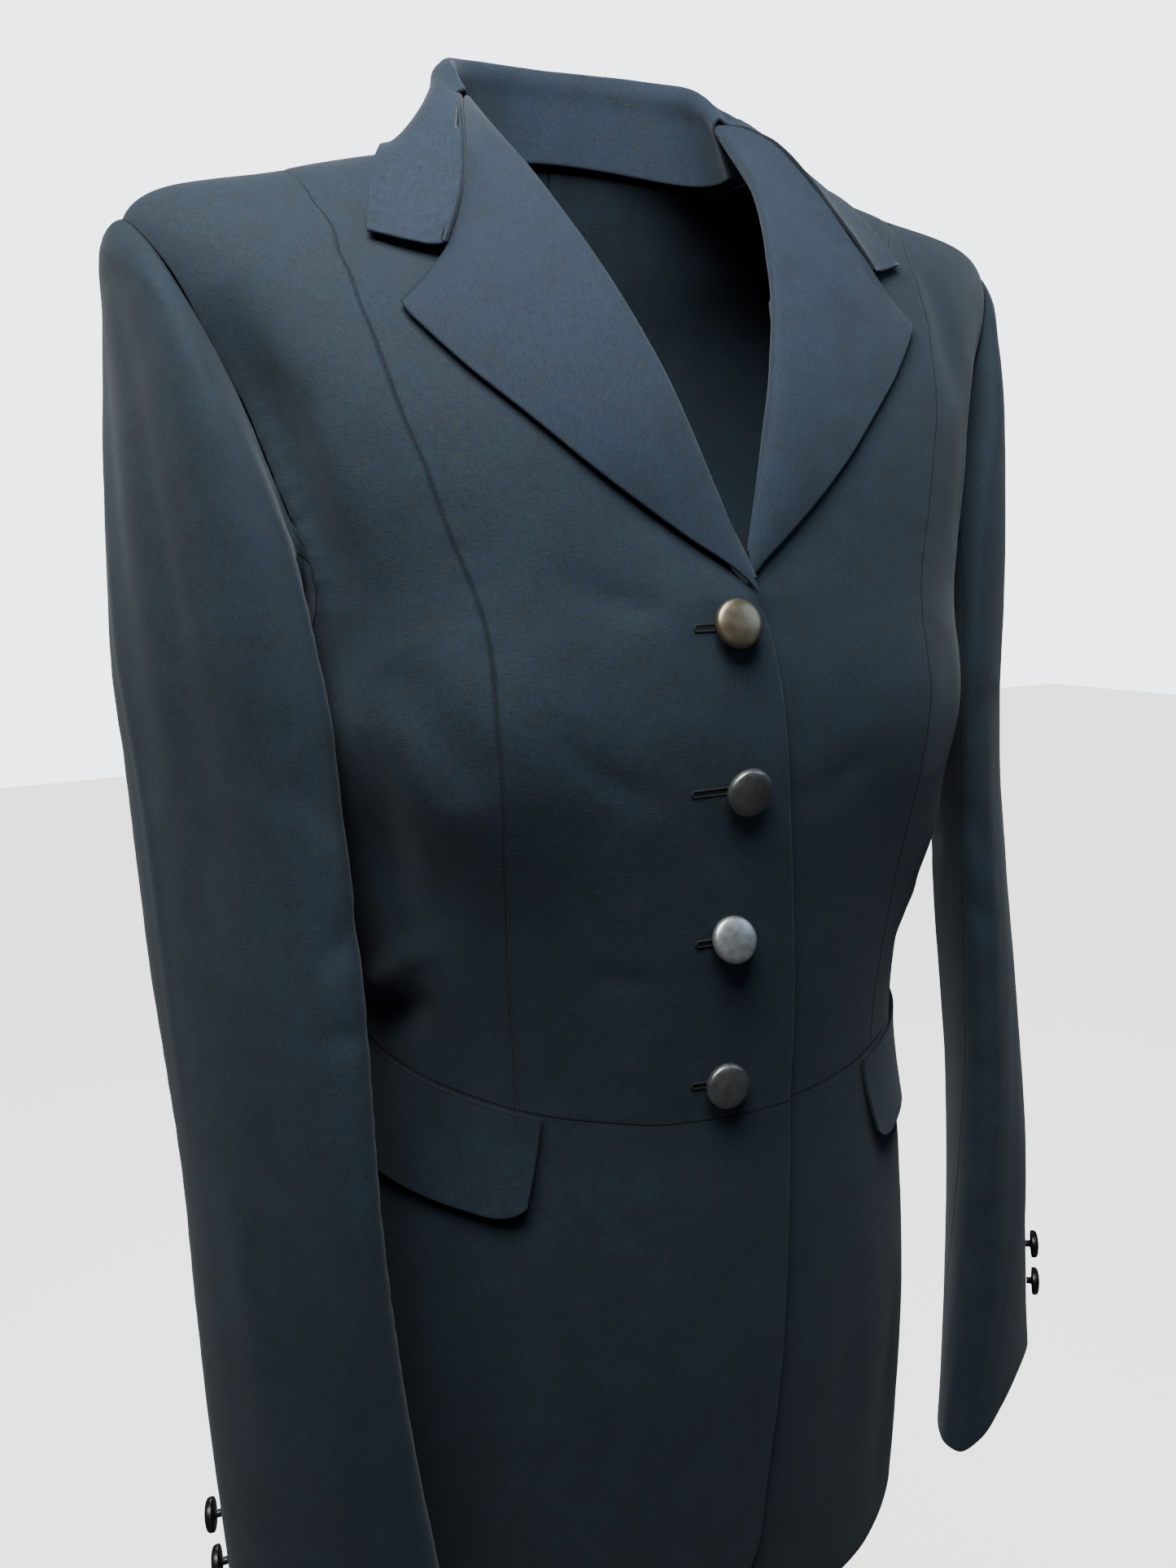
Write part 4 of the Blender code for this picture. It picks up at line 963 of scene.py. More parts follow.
def collar_row(side, station):
    """One section of the collar: up the stand inside the neck, over the crease and down the fall."""
    neck_angle, inset, x, y, z = (smooth_table(COLLAR, station, column) for column in range(1, 6))
    crease = np.array([side * x + fold_shift(1.0) * max(0.0, 1 - station * 2.5), y, z])
    foot = body_point(side * neck_angle, NECKLINE)
    centre = np.array([0.0, 0.0, foot[2]])
    inwards = (centre - foot) / np.linalg.norm(centre - foot)
    foot = foot + inwards * (inset + CLOTH) + np.array([0.0, 0.0, FOOT_LIFT])
    rise = crease - foot
    height = np.linalg.norm(rise)
    rise /= height
    across = inwards - rise * (inwards @ rise)
    across /= np.linalg.norm(across)
    turn = COLLAR_FOLD * CREASE_ROUND
    row = [foot + rise * (height - COLLAR_FOLD) * share for share in STAND_SHARES]
    row.append(crease - across * turn)
    return row + collar_fall(side, station, crease - rise * turn - across * 2 * turn)


def collar_fall(side, station, start):
    """The fall of the collar in one section. Its first section lies along the top of the lapel."""
    neck_angle = smooth_table(COLLAR, station, 1)
    edge_ring, edge_angle, edge_lift = (smooth_table(COLLAR, station, column) for column in (6, 7, 8))
    if station < COLLAR[2][0]:      # the collar's corner is sharp, so its edge runs straight on both sides
        stations = [row[0] for row in COLLAR]
        edge_ring, edge_angle = (
            np.interp(station, stations, [row[column] for row in COLLAR]) for column in (6, 7))
    surface = on_body(side * neck_angle, NECKLINE, edge_lift)
    top_of_lapel = lapel_row(side, 1.0)
    joined = max(0.0, 1.0 - station / GORGE_REACH) ** 1.5
    fall = []
    for t in COLLAR_STEPS:
        ring = NECKLINE + (edge_ring - NECKLINE) * t
        angle = neck_angle + (edge_angle - neck_angle) * t**0.6
        point = on_body(side * angle, ring, edge_lift) + (start - surface) * (1 - t) ** 4.0
        fall.append(point + (top_of_lapel(t * NOTCH_SHARE) - point) * joined * min(1.0, t / 0.15))
    return fall


def collar_grid():
    """The whole collar, from its right end round centre back to its left end."""
    right, left = ([collar_row(side, station) for station in COLLAR_STATIONS] for side in (-1, 1))
    return right + [collar_row(1, 1.0)] + left[::-1]


print("the collar's crease at centre back is at", np.round(collar_row(1, 1.0)[4], 4))

# %% [markdown]
# ## The sleeves' sections
#
# A section of the sleeve is an oval, thicker on its outer side than towards the body. At the top the sleeve
# takes the armhole's outline, and its head rolls softly off the seam at the front and back.

# %% Sleeves
SLEEVE_SHARES = [
    0.0, 0.025, 0.05, 0.09, 0.13, 0.18, 0.24, 0.30, 0.37, 0.45, 0.53, 0.61, 0.69, 0.77, 0.85, 0.93, 1.0,
]
SLEEVE_COLUMNS = {True: 10, False: 9}   # steps across the upper sleeve and across the under sleeve
CUFF_START = 0.8            # the cuff's edge begins to rise from this share of the length
TWIST_START = 0.4           # a sleeve that hangs turned does so below this share
ROLL_PASSES, ROLL_ROWS, ROLL_PULL = 4, 7, 0.5   # how the head is smoothed off the armhole


def armhole_point(side, turn):
    """The sleeve's end at the armhole. Turn runs from the back of the arm over the shoulder to the front."""
    ring = ARMHOLE_CENTRE + ARMHOLE_REACH * math.sin(math.radians(turn))
    angle = armhole_angle(ring, math.cos(math.radians(turn)) > 0)
    return on_body(side * angle, ring, SLEEVE_CLEAR)


def sleeve_ring(side, sizes, turn):
    """A point of one section of the sleeve, at a turn about it in degrees."""
    x, y, z, half_length, outer, heading, tilt, inner = sizes
    heading, tilt, turn = math.radians(heading), math.radians(tilt), math.radians(turn)
    long_side = np.array([math.cos(heading), math.sin(heading), 0.0]) * half_length
    outwards = np.array([math.sin(heading), -math.cos(heading), 0.0])
    thin_side = outwards * math.cos(tilt) + np.array([0.0, 0.0, math.sin(tilt)])
    thickness = outer if math.sin(turn) > 0 else inner
    point = np.array([x, y, z]) + long_side * math.cos(turn) + thin_side * thickness * math.sin(turn)
    return point * np.array([side, 1.0, 1.0])


def sleeve_point(side, share, turn):
    """A point of a sleeve's outer face, at a share of its length and a turn about it in degrees."""
    point = sleeve_ring(side, [smooth_table(SLEEVE, share, column) for column in range(1, 9)], turn)
    if share < ARMHOLE_BLEND:
        drawn = armhole_point(side, turn) - sleeve_ring(side, SLEEVE[0][1:], turn)
        point = point + drawn * (1 - share / ARMHOLE_BLEND) ** 2
    low = max(0.0, (share - CUFF_START) / (1 - CUFF_START))
    point[2] += CUFF_RISE * low**2 * max(0.0, math.sin(math.radians(turn))) ** 2
    return point


def rolled_head(grid, shares, turns):
    """Rolls the sleeve softly off the armhole at its front and back. The shoulder's top keeps its shape."""
    yields = np.cos(turns)[..., None] ** 2
    yields[np.sin(turns) < 0] = 1.0
    for _ in range(ROLL_PASSES):
        rolled = grid.copy()
        for i in range(1, ROLL_ROWS):
            t = (shares[i] - shares[i - 1]) / (shares[i + 1] - shares[i - 1])
            straight = grid[i - 1] * (1 - t) + grid[i + 1] * t
            rolled[i] = grid[i] + (straight - grid[i]) * yields[i] * ROLL_PULL
        grid = rolled
    return grid


def sleeve_grid(side, upper):
    """The upper sleeve, over the outside of the arm, or the under sleeve, which faces the body."""
    even = np.arange(SLEEVE_COLUMNS[upper] + 1) / SLEEVE_COLUMNS[upper]
    steps = 0.35 * even + 0.65 * (0.5 - 0.5 * np.cos(math.pi * even))   # closer together by the seams
    turns = []
    for share in SLEEVE_SHARES:
        twist = SLEEVE_TWIST[side] * max(0.0, (share - TWIST_START) / (1 - TWIST_START)) ** 1.3
        elbow, front_turn = (smooth_table(SLEEVE_SEAMS, share, column) + twist for column in (1, 2))
        first, last = (elbow, front_turn) if upper else (front_turn, elbow + 360.0)
        turns.append(first + (last - first) * steps)
    grid = [[sleeve_point(side, share, turn) for turn in row] for share, row in zip(SLEEVE_SHARES, turns)]
    return rolled_head(np.array(grid), np.array(SLEEVE_SHARES), np.radians(np.array(turns)))


print("an upper sleeve starts as a grid of", sleeve_grid(1, True).shape[:2], "points")

# %% [markdown]
# ## The pocket flaps' sections
#
# A flap hangs from the waist seam and stands a little off the skirt at its front corner. It is laid on the
# body's own surface, so it needs the ring number at each height.

# %% Pocket flaps
FLAP_SHARES_ACROSS = (0.0, 0.03, 0.10, 0.22, 0.38, 0.55, 0.72, 0.88, 1.0)
FLAP_SHARES_DOWN = (0.0, 0.25, 0.5, 0.75, 0.92, 1.0)
CORNER_SHARE, CORNER_RISE = 0.09, 0.007     # of the flap's width, and how much its rounded corner rises
FLAP_LEAN = 2.2             # degrees that the front edge leans back from top to bottom
FLAP_TUCK = 0.0006          # the flap starts this far below the seam


def ring_at_height(angle, z):
    """The ring number at which the body has this height, below the chest."""
    return halved(HEM, BREAK, lambda ring: body_point(angle, ring)[2] < z)


def flap_grid(side):
    """The pocket flap: from the waist seam down over the skirt, with a rounded front corner."""
    grid = []
    for across in FLAP_SHARES_ACROSS:
        angle = FLAP_ANGLES[0] + (FLAP_ANGLES[1] - FLAP_ANGLES[0]) * across
        top = body_point(side * angle, WAIST)[2] - FLAP_TUCK
        rounded = max(0.0, 1.0 - across / CORNER_SHARE)
        depth = FLAP_DEPTH[0] + (FLAP_DEPTH[1] - FLAP_DEPTH[0]) * across - CORNER_RISE * rounded**2
        column = []
        for down in FLAP_SHARES_DOWN:
            leaning = angle + FLAP_LEAN * down * (1 - across)
            ring = ring_at_height(side * leaning, top - depth * down)
            spring = FLAP_LIFT * down**1.3 * (1 - across) ** 1.8
            column.append(on_body(side * leaning, ring, LAYER_GAP * 1.5 + TURNED_CLOTH + spring))
        grid.append(column)
    return grid


print("a flap hangs down to z", round(float(flap_grid(1)[-1][-1][2]), 3))

# %% [markdown]
# ## The folds of this coat
#
# A fitted coat has few folds, and each has a cause. Cloth is drawn in beside the armhole, at the waist and
# at the buttons, and the sleeves keep the bend of the arm. Depths and widths are in metres. The first list
# is what the coat shows from the front, and the next one gives its back and its skirts similar folds.

# %% Folds of the front and sides
def body_fold(places, widths, depth, ends=(1.0, 1.0)):
    """A fold through places on the body, each an angle and a ring. widths are those of its two ends."""
    add_fold("body", [on_body(angle, ring, 0.0) for angle, ring in places], widths, depth, ends)


FRONT_FOLDS = (
    # places as angle and ring number, widths at its two ends, depth
    # the wearer's right side, which is near in the picture: two beside the armhole
    (((-61.5, 8.8), (-58.5, 8.2), (-57.5, 7.7), (-57.5, 7.1)), (0.012, 0.015), -0.0042),
    (((-49.5, 8.3), (-48.0, 7.7), (-47.5, 7.2)), (0.008, 0.010), 0.0016),
    # under the bust
    (((-47.0, 6.8), (-43.0, 6.45), (-39.5, 6.15), (-37.5, 5.8)), (0.011, 0.014), -0.0042),
    (((-52.0, 6.3), (-55.5, 5.7), (-60.0, 5.2)), (0.015, 0.012), -0.0036),
    # drawn up to the waist
    (((-84.0, 4.35), (-70.0, 4.6), (-58.0, 4.88), (-49.0, 5.06)), (0.008, 0.006), 0.0026),
    (((-80.0, 4.15), (-66.0, 4.38), (-54.0, 4.66)), (0.008, 0.007), -0.0026),
    (((-36.0, 5.3), (-33.0, 4.8), (-31.0, 4.4)), (0.010, 0.012), -0.0013),
    # to the second button, the third one and the top one
    (((-24.0, 6.2), (-17.0, 5.9), (-9.0, 5.74)), (0.007, 0.004), -0.0014),
    (((-4.6, 5.72), (-3.0, 5.55), (-1.9, 5.38)), (0.004, 0.006), -0.0017),
    (((-26.0, 4.9), (-17.0, 4.86), (-7.0, 4.80)), (0.007, 0.004), -0.0008),
    (((-22.0, 7.35), (-15.0, 7.1), (-7.0, 6.92)), (0.008, 0.005), -0.0015),
    # the wearer's left side
    (((60.0, 9.64), (52.5, 9.35), (47.0, 8.95), (43.0, 8.4)), (0.007, 0.010), -0.0024),
    (((52.0, 8.6), (50.0, 7.9), (51.0, 7.3)), (0.010, 0.012), -0.0018),
    (((41.0, 6.7), (38.0, 6.2), (37.0, 5.7)), (0.012, 0.014), -0.0022),
    (((80.0, 4.5), (64.0, 4.75), (50.0, 4.95)), (0.008, 0.006), 0.0014),
    (((78.0, 4.25), (60.0, 4.48), (46.0, 4.70)), (0.009, 0.007), -0.0018),
    (((24.0, 5.95), (14.0, 5.75), (5.0, 5.66)), (0.007, 0.005), -0.0008),
)
for places, widths, depth in FRONT_FOLDS:
    body_fold(places, widths, depth)
print(len(FOLDS["body"]), "folds on the front and sides")

# %% [markdown]
# ## Folds of the back and the skirts
#
# These are laid on both sides from one table. Nobody wears both halves of a coat alike, so each side has
# them at its own depth.

# %% Folds of the back and the skirts
BACK_AND_SKIRT_FOLDS = (
    # places on the left side, widths at its two ends, depth, fading at its two ends
    # from the armhole
    (((112.0, 8.2), (124.0, 7.9), (134.0, 7.4)), (0.010, 0.014), -0.0020, (1.0, 1.0)),
    (((118.0, 7.3), (132.0, 7.0)), (0.009, 0.011), -0.0013, (1.0, 1.0)),
    (((150.0, 6.4), (149.0, 5.6), (151.0, 4.9)), (0.012, 0.010), -0.0019, (1.0, 1.0)),
    # across the small of the back
    (((168.0, 5.3), (158.0, 5.0), (146.0, 4.88)), (0.006, 0.007), -0.0013, (1.0, 1.0)),
    (((170.0, 4.75), (157.0, 4.55), (144.0, 4.52)), (0.006, 0.008), 0.0011, (1.0, 1.0)),
    (((112.0, 4.9), (124.0, 4.65), (136.0, 4.6)), (0.007, 0.008), -0.0014, (1.0, 1.0)),
    # down the skirts
    (((152.0, 2.9), (151.0, 1.6), (149.0, 0.5)), (0.014, 0.020), -0.0024, (1.0, 0.3)),
    (((122.0, 2.7), (121.0, 1.5), (118.0, 0.4)), (0.014, 0.020), -0.0022, (1.0, 0.3)),
    (((88.0, 2.6), (86.0, 1.4), (85.0, 0.3)), (0.015, 0.022), -0.0022, (1.0, 0.3)),
    (((46.0, 2.2), (43.0, 1.3), (42.0, 0.4)), (0.013, 0.018), -0.0019, (1.0, 0.4)),
    (((27.0, 2.6), (24.0, 1.8), (22.0, 1.0)), (0.010, 0.014), -0.0012, (1.0, 1.0)),
)
FOLD_STRENGTH = {-1: 1.55, 1: 1.30}     # how much deeper each side has them than the table says
for side, strength in FOLD_STRENGTH.items():
    for places, widths, depth, ends in BACK_AND_SKIRT_FOLDS:
        body_fold([(side * angle, ring) for angle, ring in places], widths, depth * strength, ends)
print(len(FOLDS["body"]), "folds on the body in all")

# %% [markdown]
# ## The folds of the sleeves
#
# A sleeve hangs in long soft troughs from its head, breaks at the inside of the elbow, and keeps a pressed
# line behind its outer seam. A place on it is a share of its length and a turn round it.

# %% Folds of the sleeves
def sleeve_fold(side, places, widths, depth):
    line = [sleeve_point(side, share, turn) for share, turn in places]
    add_fold("right sleeve" if side < 0 else "left sleeve", line, widths, depth)


SLEEVE_FOLDS = {
    # side: (places as length share and turn, widths at its two ends, depth) of each fold
    -1: (
        (((0.03, 54.0), (0.20, 57.0), (0.42, 57.0), (0.68, 54.0)), (0.0036, 0.0036), 0.0008),  # pressed line
        (((0.04, 66.0), (0.22, 70.0), (0.40, 71.0)), (0.008, 0.010), -0.0010),
        (((0.06, 92.0), (0.20, 97.0), (0.36, 99.0), (0.52, 96.0)), (0.009, 0.013), -0.0021),
        (((0.09, 124.0), (0.24, 128.0), (0.40, 130.0)), (0.010, 0.013), 0.0014),
        (((0.05, 150.0), (0.16, 158.0), (0.30, 163.0)), (0.008, 0.011), -0.0020),
        (((0.445, 196.0), (0.47, 170.0), (0.50, 142.0)), (0.008, 0.006), -0.0017),  # inside the elbow
        (((0.53, 192.0), (0.545, 168.0), (0.535, 146.0)), (0.007, 0.006), -0.0013),
        (((0.40, 182.0), (0.385, 160.0), (0.36, 142.0)), (0.008, 0.007), -0.0011),
        (((0.56, 118.0), (0.70, 122.0), (0.86, 118.0)), (0.011, 0.014), -0.0016),
        (((0.62, 84.0), (0.76, 88.0), (0.90, 84.0)), (0.010, 0.012), 0.0011),
        (((0.74, 160.0), (0.86, 150.0), (0.95, 134.0)), (0.008, 0.009), -0.0013),
    ),
    1: (
        (((0.05, 118.0), (0.16, 112.0), (0.30, 108.0)), (0.009, 0.012), -0.0018),
        (((0.08, 150.0), (0.20, 156.0), (0.34, 158.0)), (0.009, 0.012), -0.0019),
        (((0.03, 60.0), (0.26, 62.0), (0.46, 74.0), (0.62, 92.0)), (0.0038, 0.0038), 0.0007),
        (((0.43, 198.0), (0.46, 174.0), (0.50, 148.0)), (0.008, 0.006), -0.0018),
        (((0.52, 200.0), (0.54, 176.0), (0.56, 152.0)), (0.007, 0.007), -0.0015),
        (((0.38, 184.0), (0.37, 160.0), (0.35, 140.0)), (0.008, 0.008), -0.0012),
        (((0.60, 130.0), (0.74, 142.0), (0.88, 156.0)), (0.011, 0.013), -0.0017),
        (((0.64, 96.0), (0.78, 106.0), (0.90, 118.0)), (0.010, 0.012), 0.0012),
    ),
}
UNDER_ARM_FOLDS = (         # on the side of both sleeves that faces the body
    (((0.06, 250.0), (0.22, 256.0), (0.40, 262.0)), (0.010, 0.013), -0.0018),
    (((0.10, 320.0), (0.24, 326.0), (0.38, 330.0)), (0.010, 0.012), -0.0014),
    (((0.47, 230.0), (0.49, 262.0), (0.50, 290.0)), (0.008, 0.007), -0.0014),
    (((0.60, 284.0), (0.74, 290.0), (0.88, 286.0)), (0.011, 0.013), -0.0015),
)
for side, folds in SLEEVE_FOLDS.items():
    for places, widths, depth in folds + UNDER_ARM_FOLDS:
        sleeve_fold(side, places, widths, depth)
print(len(FOLDS["right sleeve"]), "folds on the right sleeve,", len(FOLDS["left sleeve"]), "on the left one")

# %% [markdown]
# ## What is cut
#
# A maker cuts every piece flat before it is sewn. The table gives each flat piece's greatest width and
# length in metres and its area in square metres, which is less than their product, as the pieces are curved.
# The two fronts differ, because the right one laps over the left one, and so do the two lapels.

# %% Flat sizes of the cut
CUTS = {
    "front_right": (0.180, 0.512, 0.0503), "front_left": (0.171, 0.519, 0.0473),
    "side_front": (0.158, 0.521, 0.0414), "side_back": (0.103, 0.318, 0.0210),
    "back": (0.262, 0.558, 0.0655),
    "front_skirt_right": (0.273, 0.374, 0.0781), "front_skirt_left": (0.261, 0.372, 0.0730),
    "back_skirt": (0.226, 0.321, 0.0655), "flap": (0.061, 0.124, 0.0064), "collar": (0.168, 0.494, 0.0284),
    "lapel_right": (0.155, 0.262, 0.0139), "lapel_left": (0.150, 0.250, 0.0122),
    "upper_sleeve": (0.245, 0.612, 0.0811), "under_sleeve": (0.264, 0.590, 0.0715),
}
IN_PAIRS = ("side_front", "side_back", "back", "back_skirt", "flap", "upper_sleeve", "under_sleeve")


def cut_of(name, word):
    """The cut of a piece of the right or left side."""
    return CUTS.get(f"{name}_{word}") or CUTS[name]


needed = sum(cut[2] * (2 if name in IN_PAIRS else 1) for name, cut in CUTS.items())
print(f"the coat takes {needed:.2f} m2 of cloth before seam allowances")

# %% [markdown]
# ## The wool
#
# The coat is a dense navy wool, woven from dark blue threads with a few brown and green ones, and
# brushed to a short nap. Three things make it: a slow clouding of the colour, threads that run both ways
# along the piece's own map, and fine fibre ends. They are built once as a group of nodes.

# %% Node helpers
def group_with(name, inputs, outputs):
    """An empty node group with named sockets. Each input is (name, socket type, value)."""
    made = bpy.data.node_groups.new(name, "ShaderNodeTree")
    for socket, kind, value in inputs:
        made.interface.new_socket(socket, in_out="INPUT", socket_type=kind).default_value = value
    for socket, kind in outputs:
        made.interface.new_socket(socket, in_out="OUTPUT", socket_type=kind)
    return made, made.nodes.new("NodeGroupInput"), made.nodes.new("NodeGroupOutput")


def add_node(tree, kind, settings=(), **sockets):
    """A node with settings and socket values. i0 names the first socket. A value may be another's output."""
    node = tree.nodes.new(kind)
    for setting, value in dict(settings).items():
        setattr(node, setting, value)
    for socket, value in sockets.items():
        by_number = socket[0] == "i" and socket[1:].isdigit()
        place = node.inputs[int(socket[1:]) if by_number else socket.replace("_", " ")]
        if isinstance(value, bpy.types.NodeSocket):
            tree.links.new(value, place)
        else:
            place.default_value = value
    return node


def maths(tree, operation, first, second, clamp=False):
    settings = {"operation": operation, "use_clamp": clamp}
    return add_node(tree, "ShaderNodeMath", settings, i0=first, i1=second).outputs[0]


def mixed(tree, factor, first, second):
    """A colour between two, at a factor."""
    return add_node(tree, "ShaderNodeMix", {"data_type": "RGBA"}, i0=factor, i6=first, i7=second).outputs[2]


def cloudy(tree, where, scale, detail=2.0, roughness=0.5):
    """Soft noise in three dimensions."""
    settings = {"noise_dimensions": "3D"}
    sockets = {"Vector": where, "Scale": scale, "Detail": detail, "Roughness": roughness}
    return add_node(tree, "ShaderNodeTexNoise", settings, **sockets).outputs["Fac"]


SURFACE = [("Color", "NodeSocketColor"), ("Roughness", "NodeSocketFloat"), ("Height", "NodeSocketFloat")]


def dressed_shader(name, group, relief, depth, shader_values, **colours):
    """A material whose colour, roughness and relief come from a group. Colours go to the group's sockets."""
    made = bpy.data.materials.new(name)
    made.use_nodes = True
    tree = made.node_tree
    shader = tree.nodes["Principled BSDF"]
    values = {socket: (*colour, 1) for socket, colour in colours.items()}
    surface = add_node(tree, "ShaderNodeGroup", {"node_tree": group}, **values)
    for socket, out in (("Base Color", "Color"), ("Roughness", "Roughness")):
        tree.links.new(surface.outputs[out], shader.inputs[socket])
    height = surface.outputs["Height"]
    bump = add_node(tree, "ShaderNodeBump", Strength=relief, Distance=depth, Height=height)
    tree.links.new(bump.outputs["Normal"], shader.inputs["Normal"])
    for socket, value in shader_values.items():
        shader.inputs[socket].default_value = value
    return made


print("a group puts out", ", ".join(name for name, _ in SURFACE))

# %% [markdown]
# ## The wool's surface
#
# The threads are noise that is stretched along the weave, once for the warp and once for the weft. Where a
# seam runs, the group darkens the cloth with painted shade, which stands for the shadow in the seam's
# valley.

# %% The wool's group
STRETCH = 0.16              # a thread's noise is this much slower along the thread
NAP, CLOUDS, FLECKS = 1150.0, 62.0, 420.0       # noise to a metre: fibre ends, slow clouding, odd threads
# painted shade: the near-black colour that the cloth takes along a seam
SEAM_PAINTED_SHADE = (0.0010, 0.0016, 0.0024, 1)

wool, wool_in, wool_out = group_with(
    "brushed wool",
    [
        ("Deep", "NodeSocketColor", (0.010, 0.015, 0.026, 1)),
        ("Pale", "NodeSocketColor", (0.030, 0.042, 0.062, 1)),
        ("Fleck", "NodeSocketColor", (0.022, 0.021, 0.014, 1)),
        ("Threads per metre", "NodeSocketFloat", 1500.0),
    ],
    SURFACE,
)
on_piece = add_node(wool, "ShaderNodeUVMap", {"uv_map": "weave"}).outputs["UV"]
in_space = add_node(wool, "ShaderNodeTexCoord").outputs["Object"]
painted_seam_shade = add_node(wool, "ShaderNodeAttribute", {"attribute_name": "seam"}).outputs["Fac"]
threads = wool_in.outputs["Threads per metre"]
warp_place = add_node(wool, "ShaderNodeMapping", Vector=on_piece, Scale=(1.0, STRETCH, 1.0)).outputs[0]
weft_place = add_node(
    wool, "ShaderNodeMapping", Vector=on_piece, Scale=(STRETCH, 1.0, 1.0), Location=(0.3, 0.7, 0.0),
).outputs[0]
warp, weft = (cloudy(wool, place, threads, 1.0) for place in (warp_place, weft_place))
nap = cloudy(wool, in_space, NAP, 2.0, 0.6)
clouds = cloudy(wool, in_space, CLOUDS, 4.0, 0.62)
flecks = cloudy(wool, in_space, FLECKS, 1.0)
woven = maths(wool, "MULTIPLY", maths(wool, "ADD", warp, weft), 0.5)

shade = maths(wool, "ADD", maths(wool, "MULTIPLY", woven, 1.5), maths(wool, "MULTIPLY", clouds, 0.9))
from_nap = maths(wool, "MULTIPLY", maths(wool, "SUBTRACT", nap, 0.5), 0.9)
shade = maths(wool, "ADD", maths(wool, "SUBTRACT", shade, 1.0), from_nap)
pale_share = maths(wool, "ADD", shade, 0.22, clamp=True)
is_fleck = maths(wool, "MULTIPLY", maths(wool, "SUBTRACT", flecks, 0.60), 5.0, clamp=True)
base = mixed(wool, pale_share, wool_in.outputs["Deep"], wool_in.outputs["Pale"])
base = mixed(wool, maths(wool, "MULTIPLY", is_fleck, 0.45), base, wool_in.outputs["Fleck"])
# painted shade: the cloth darkens along its seams, as a painted shadow in their valleys
base = mixed(wool, maths(wool, "MULTIPLY", painted_seam_shade, 0.75), base, SEAM_PAINTED_SHADE)
cloud_rough = maths(wool, "MULTIPLY", clouds, 0.16)
rough = maths(wool, "ADD", maths(wool, "ADD", 0.78, painted_seam_shade), cloud_rough, clamp=True)
relief = maths(wool, "ADD", woven, maths(wool, "MULTIPLY", nap, 0.8))
for socket, value in (("Color", base), ("Roughness", rough), ("Height", relief)):
    wool.links.new(value, wool_out.inputs[socket])
print("the wool's group has", len(wool.nodes), "nodes")

# %% [markdown]
# ## Two shades of the wool
#
# The lapels and the collar are turned over, so the light catches them more, and their wool is the coat's own
# wool painted lighter to stand for that light. Sheen stands for the short nap, which brightens where the
# cloth turns away from the eye.

# %% Wool materials
def wool_material(name, deep, pale, sheen):
    values = {
        "Specular IOR Level": 0.30, "Sheen Weight": sheen, "Sheen Roughness": 0.45,
        "Sheen Tint": (0.78, 0.89, 1.0, 1),
    }
    return dressed_shader(name, wool, 0.4, 0.0004, values, Deep=deep, Pale=pale)


COAT_WOOL = wool_material("navy wool of the coat", (0.0022, 0.0070, 0.0132), (0.0094, 0.0238, 0.0410), 0.11)
# painted light: the coat's wool with lighter colours, for the light that the turned lapels and collar catch
FACING_WOOL_PAINTED_LIGHTER = wool_material(
    "navy wool of collar and lapels", (0.0030, 0.0084, 0.0168), (0.0115, 0.0268, 0.0500), 0.12)
print("wool materials:", COAT_WOOL.name, "and", FACING_WOOL_PAINTED_LIGHTER.name)

# %% [markdown]
# ## The panels above the waist
#
# The bodice is eight pieces: two fronts, two side fronts, two side backs and two backs, all hung from the
# shoulder seams and sewn edge to edge. They share their rows, so a seam's two edges are the same line.

# %% Fronts, side fronts, side backs and backs
BODICE = (("front", front), ("side_front", side_front), ("side_back", side_back), ("back", back))
for side, word in SIDES:
    for name, make in BODICE:
        node = f"{name}_{word}"
        piece = lay(
            node.replace("_", "-"), make(side), CLOTH, side, cut_of(name, word),
            seams=(name != "front", 1, 1, 1))
        piece.data.materials.append(COAT_WOOL)
        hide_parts(node)

# %% [markdown]
# ## The skirts
#
# Below the waist seam four pieces flare softly. The front edges round away at the hem, and at centre back
# the left skirt laps over the right one to make the vent that opens in the saddle.

# %% Front and back skirts
for side, word in SIDES:
    for name, make in (("front_skirt", front_skirt), ("back_skirt", back_skirt)):
        node = f"{name}_{word}"
        is_front = name == "front_skirt"
        piece = lay(
            node.replace("_", "-"), make(side), CLOTH, side, cut_of(name, word),
            seams=(not is_front, is_front, 0, 1))
        piece.data.materials.append(COAT_WOOL)
        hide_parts(node)

# %% [markdown]
# ## Lapels, collar and pocket flaps
#
# The lapels are folded back over the fronts, and the collar is joined to them at the gorge seam. Their
# edges are pressed flat and round. The flaps hang from the waist seam over the skirt.

# %% Lapels, collar and flaps
for side, word in SIDES:
    piece = lay(
        f"lapel-{word}", fine_grid(lapel_grid(side), (2, 1)), TURNED_CLOTH, side, cut_of("lapel", word),
        seams=(0, 0, 0, 1))
    piece.data.materials.append(FACING_WOOL_PAINTED_LIGHTER)
    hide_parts(f"lapel_{word}")
    piece = lay(
        f"pocket-flap-{word}", fine_grid(flap_grid(side), (1, 1)), TURNED_CLOTH, side, cut_of("flap", word),
        seams=(1, 0, 0, 0), puckered=0.3)
    piece.data.materials.append(COAT_WOOL)
    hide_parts(f"pocket_flap_{word}")
piece = lay(
    "turned-collar", fine_grid(collar_grid(), (2, 1), corners=True), TURNED_CLOTH, 1, CUTS["collar"],
    seams=(1, 0, 1, 1), puckered=0.3)
piece.data.materials.append(FACING_WOOL_PAINTED_LIGHTER)
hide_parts("collar")

# %% [markdown]
# ## The sleeves
#
# Each sleeve is two pieces, an upper sleeve over the outside of the arm and an under sleeve that faces the
# body. Their seams run down the back of the arm and along its front inner side.

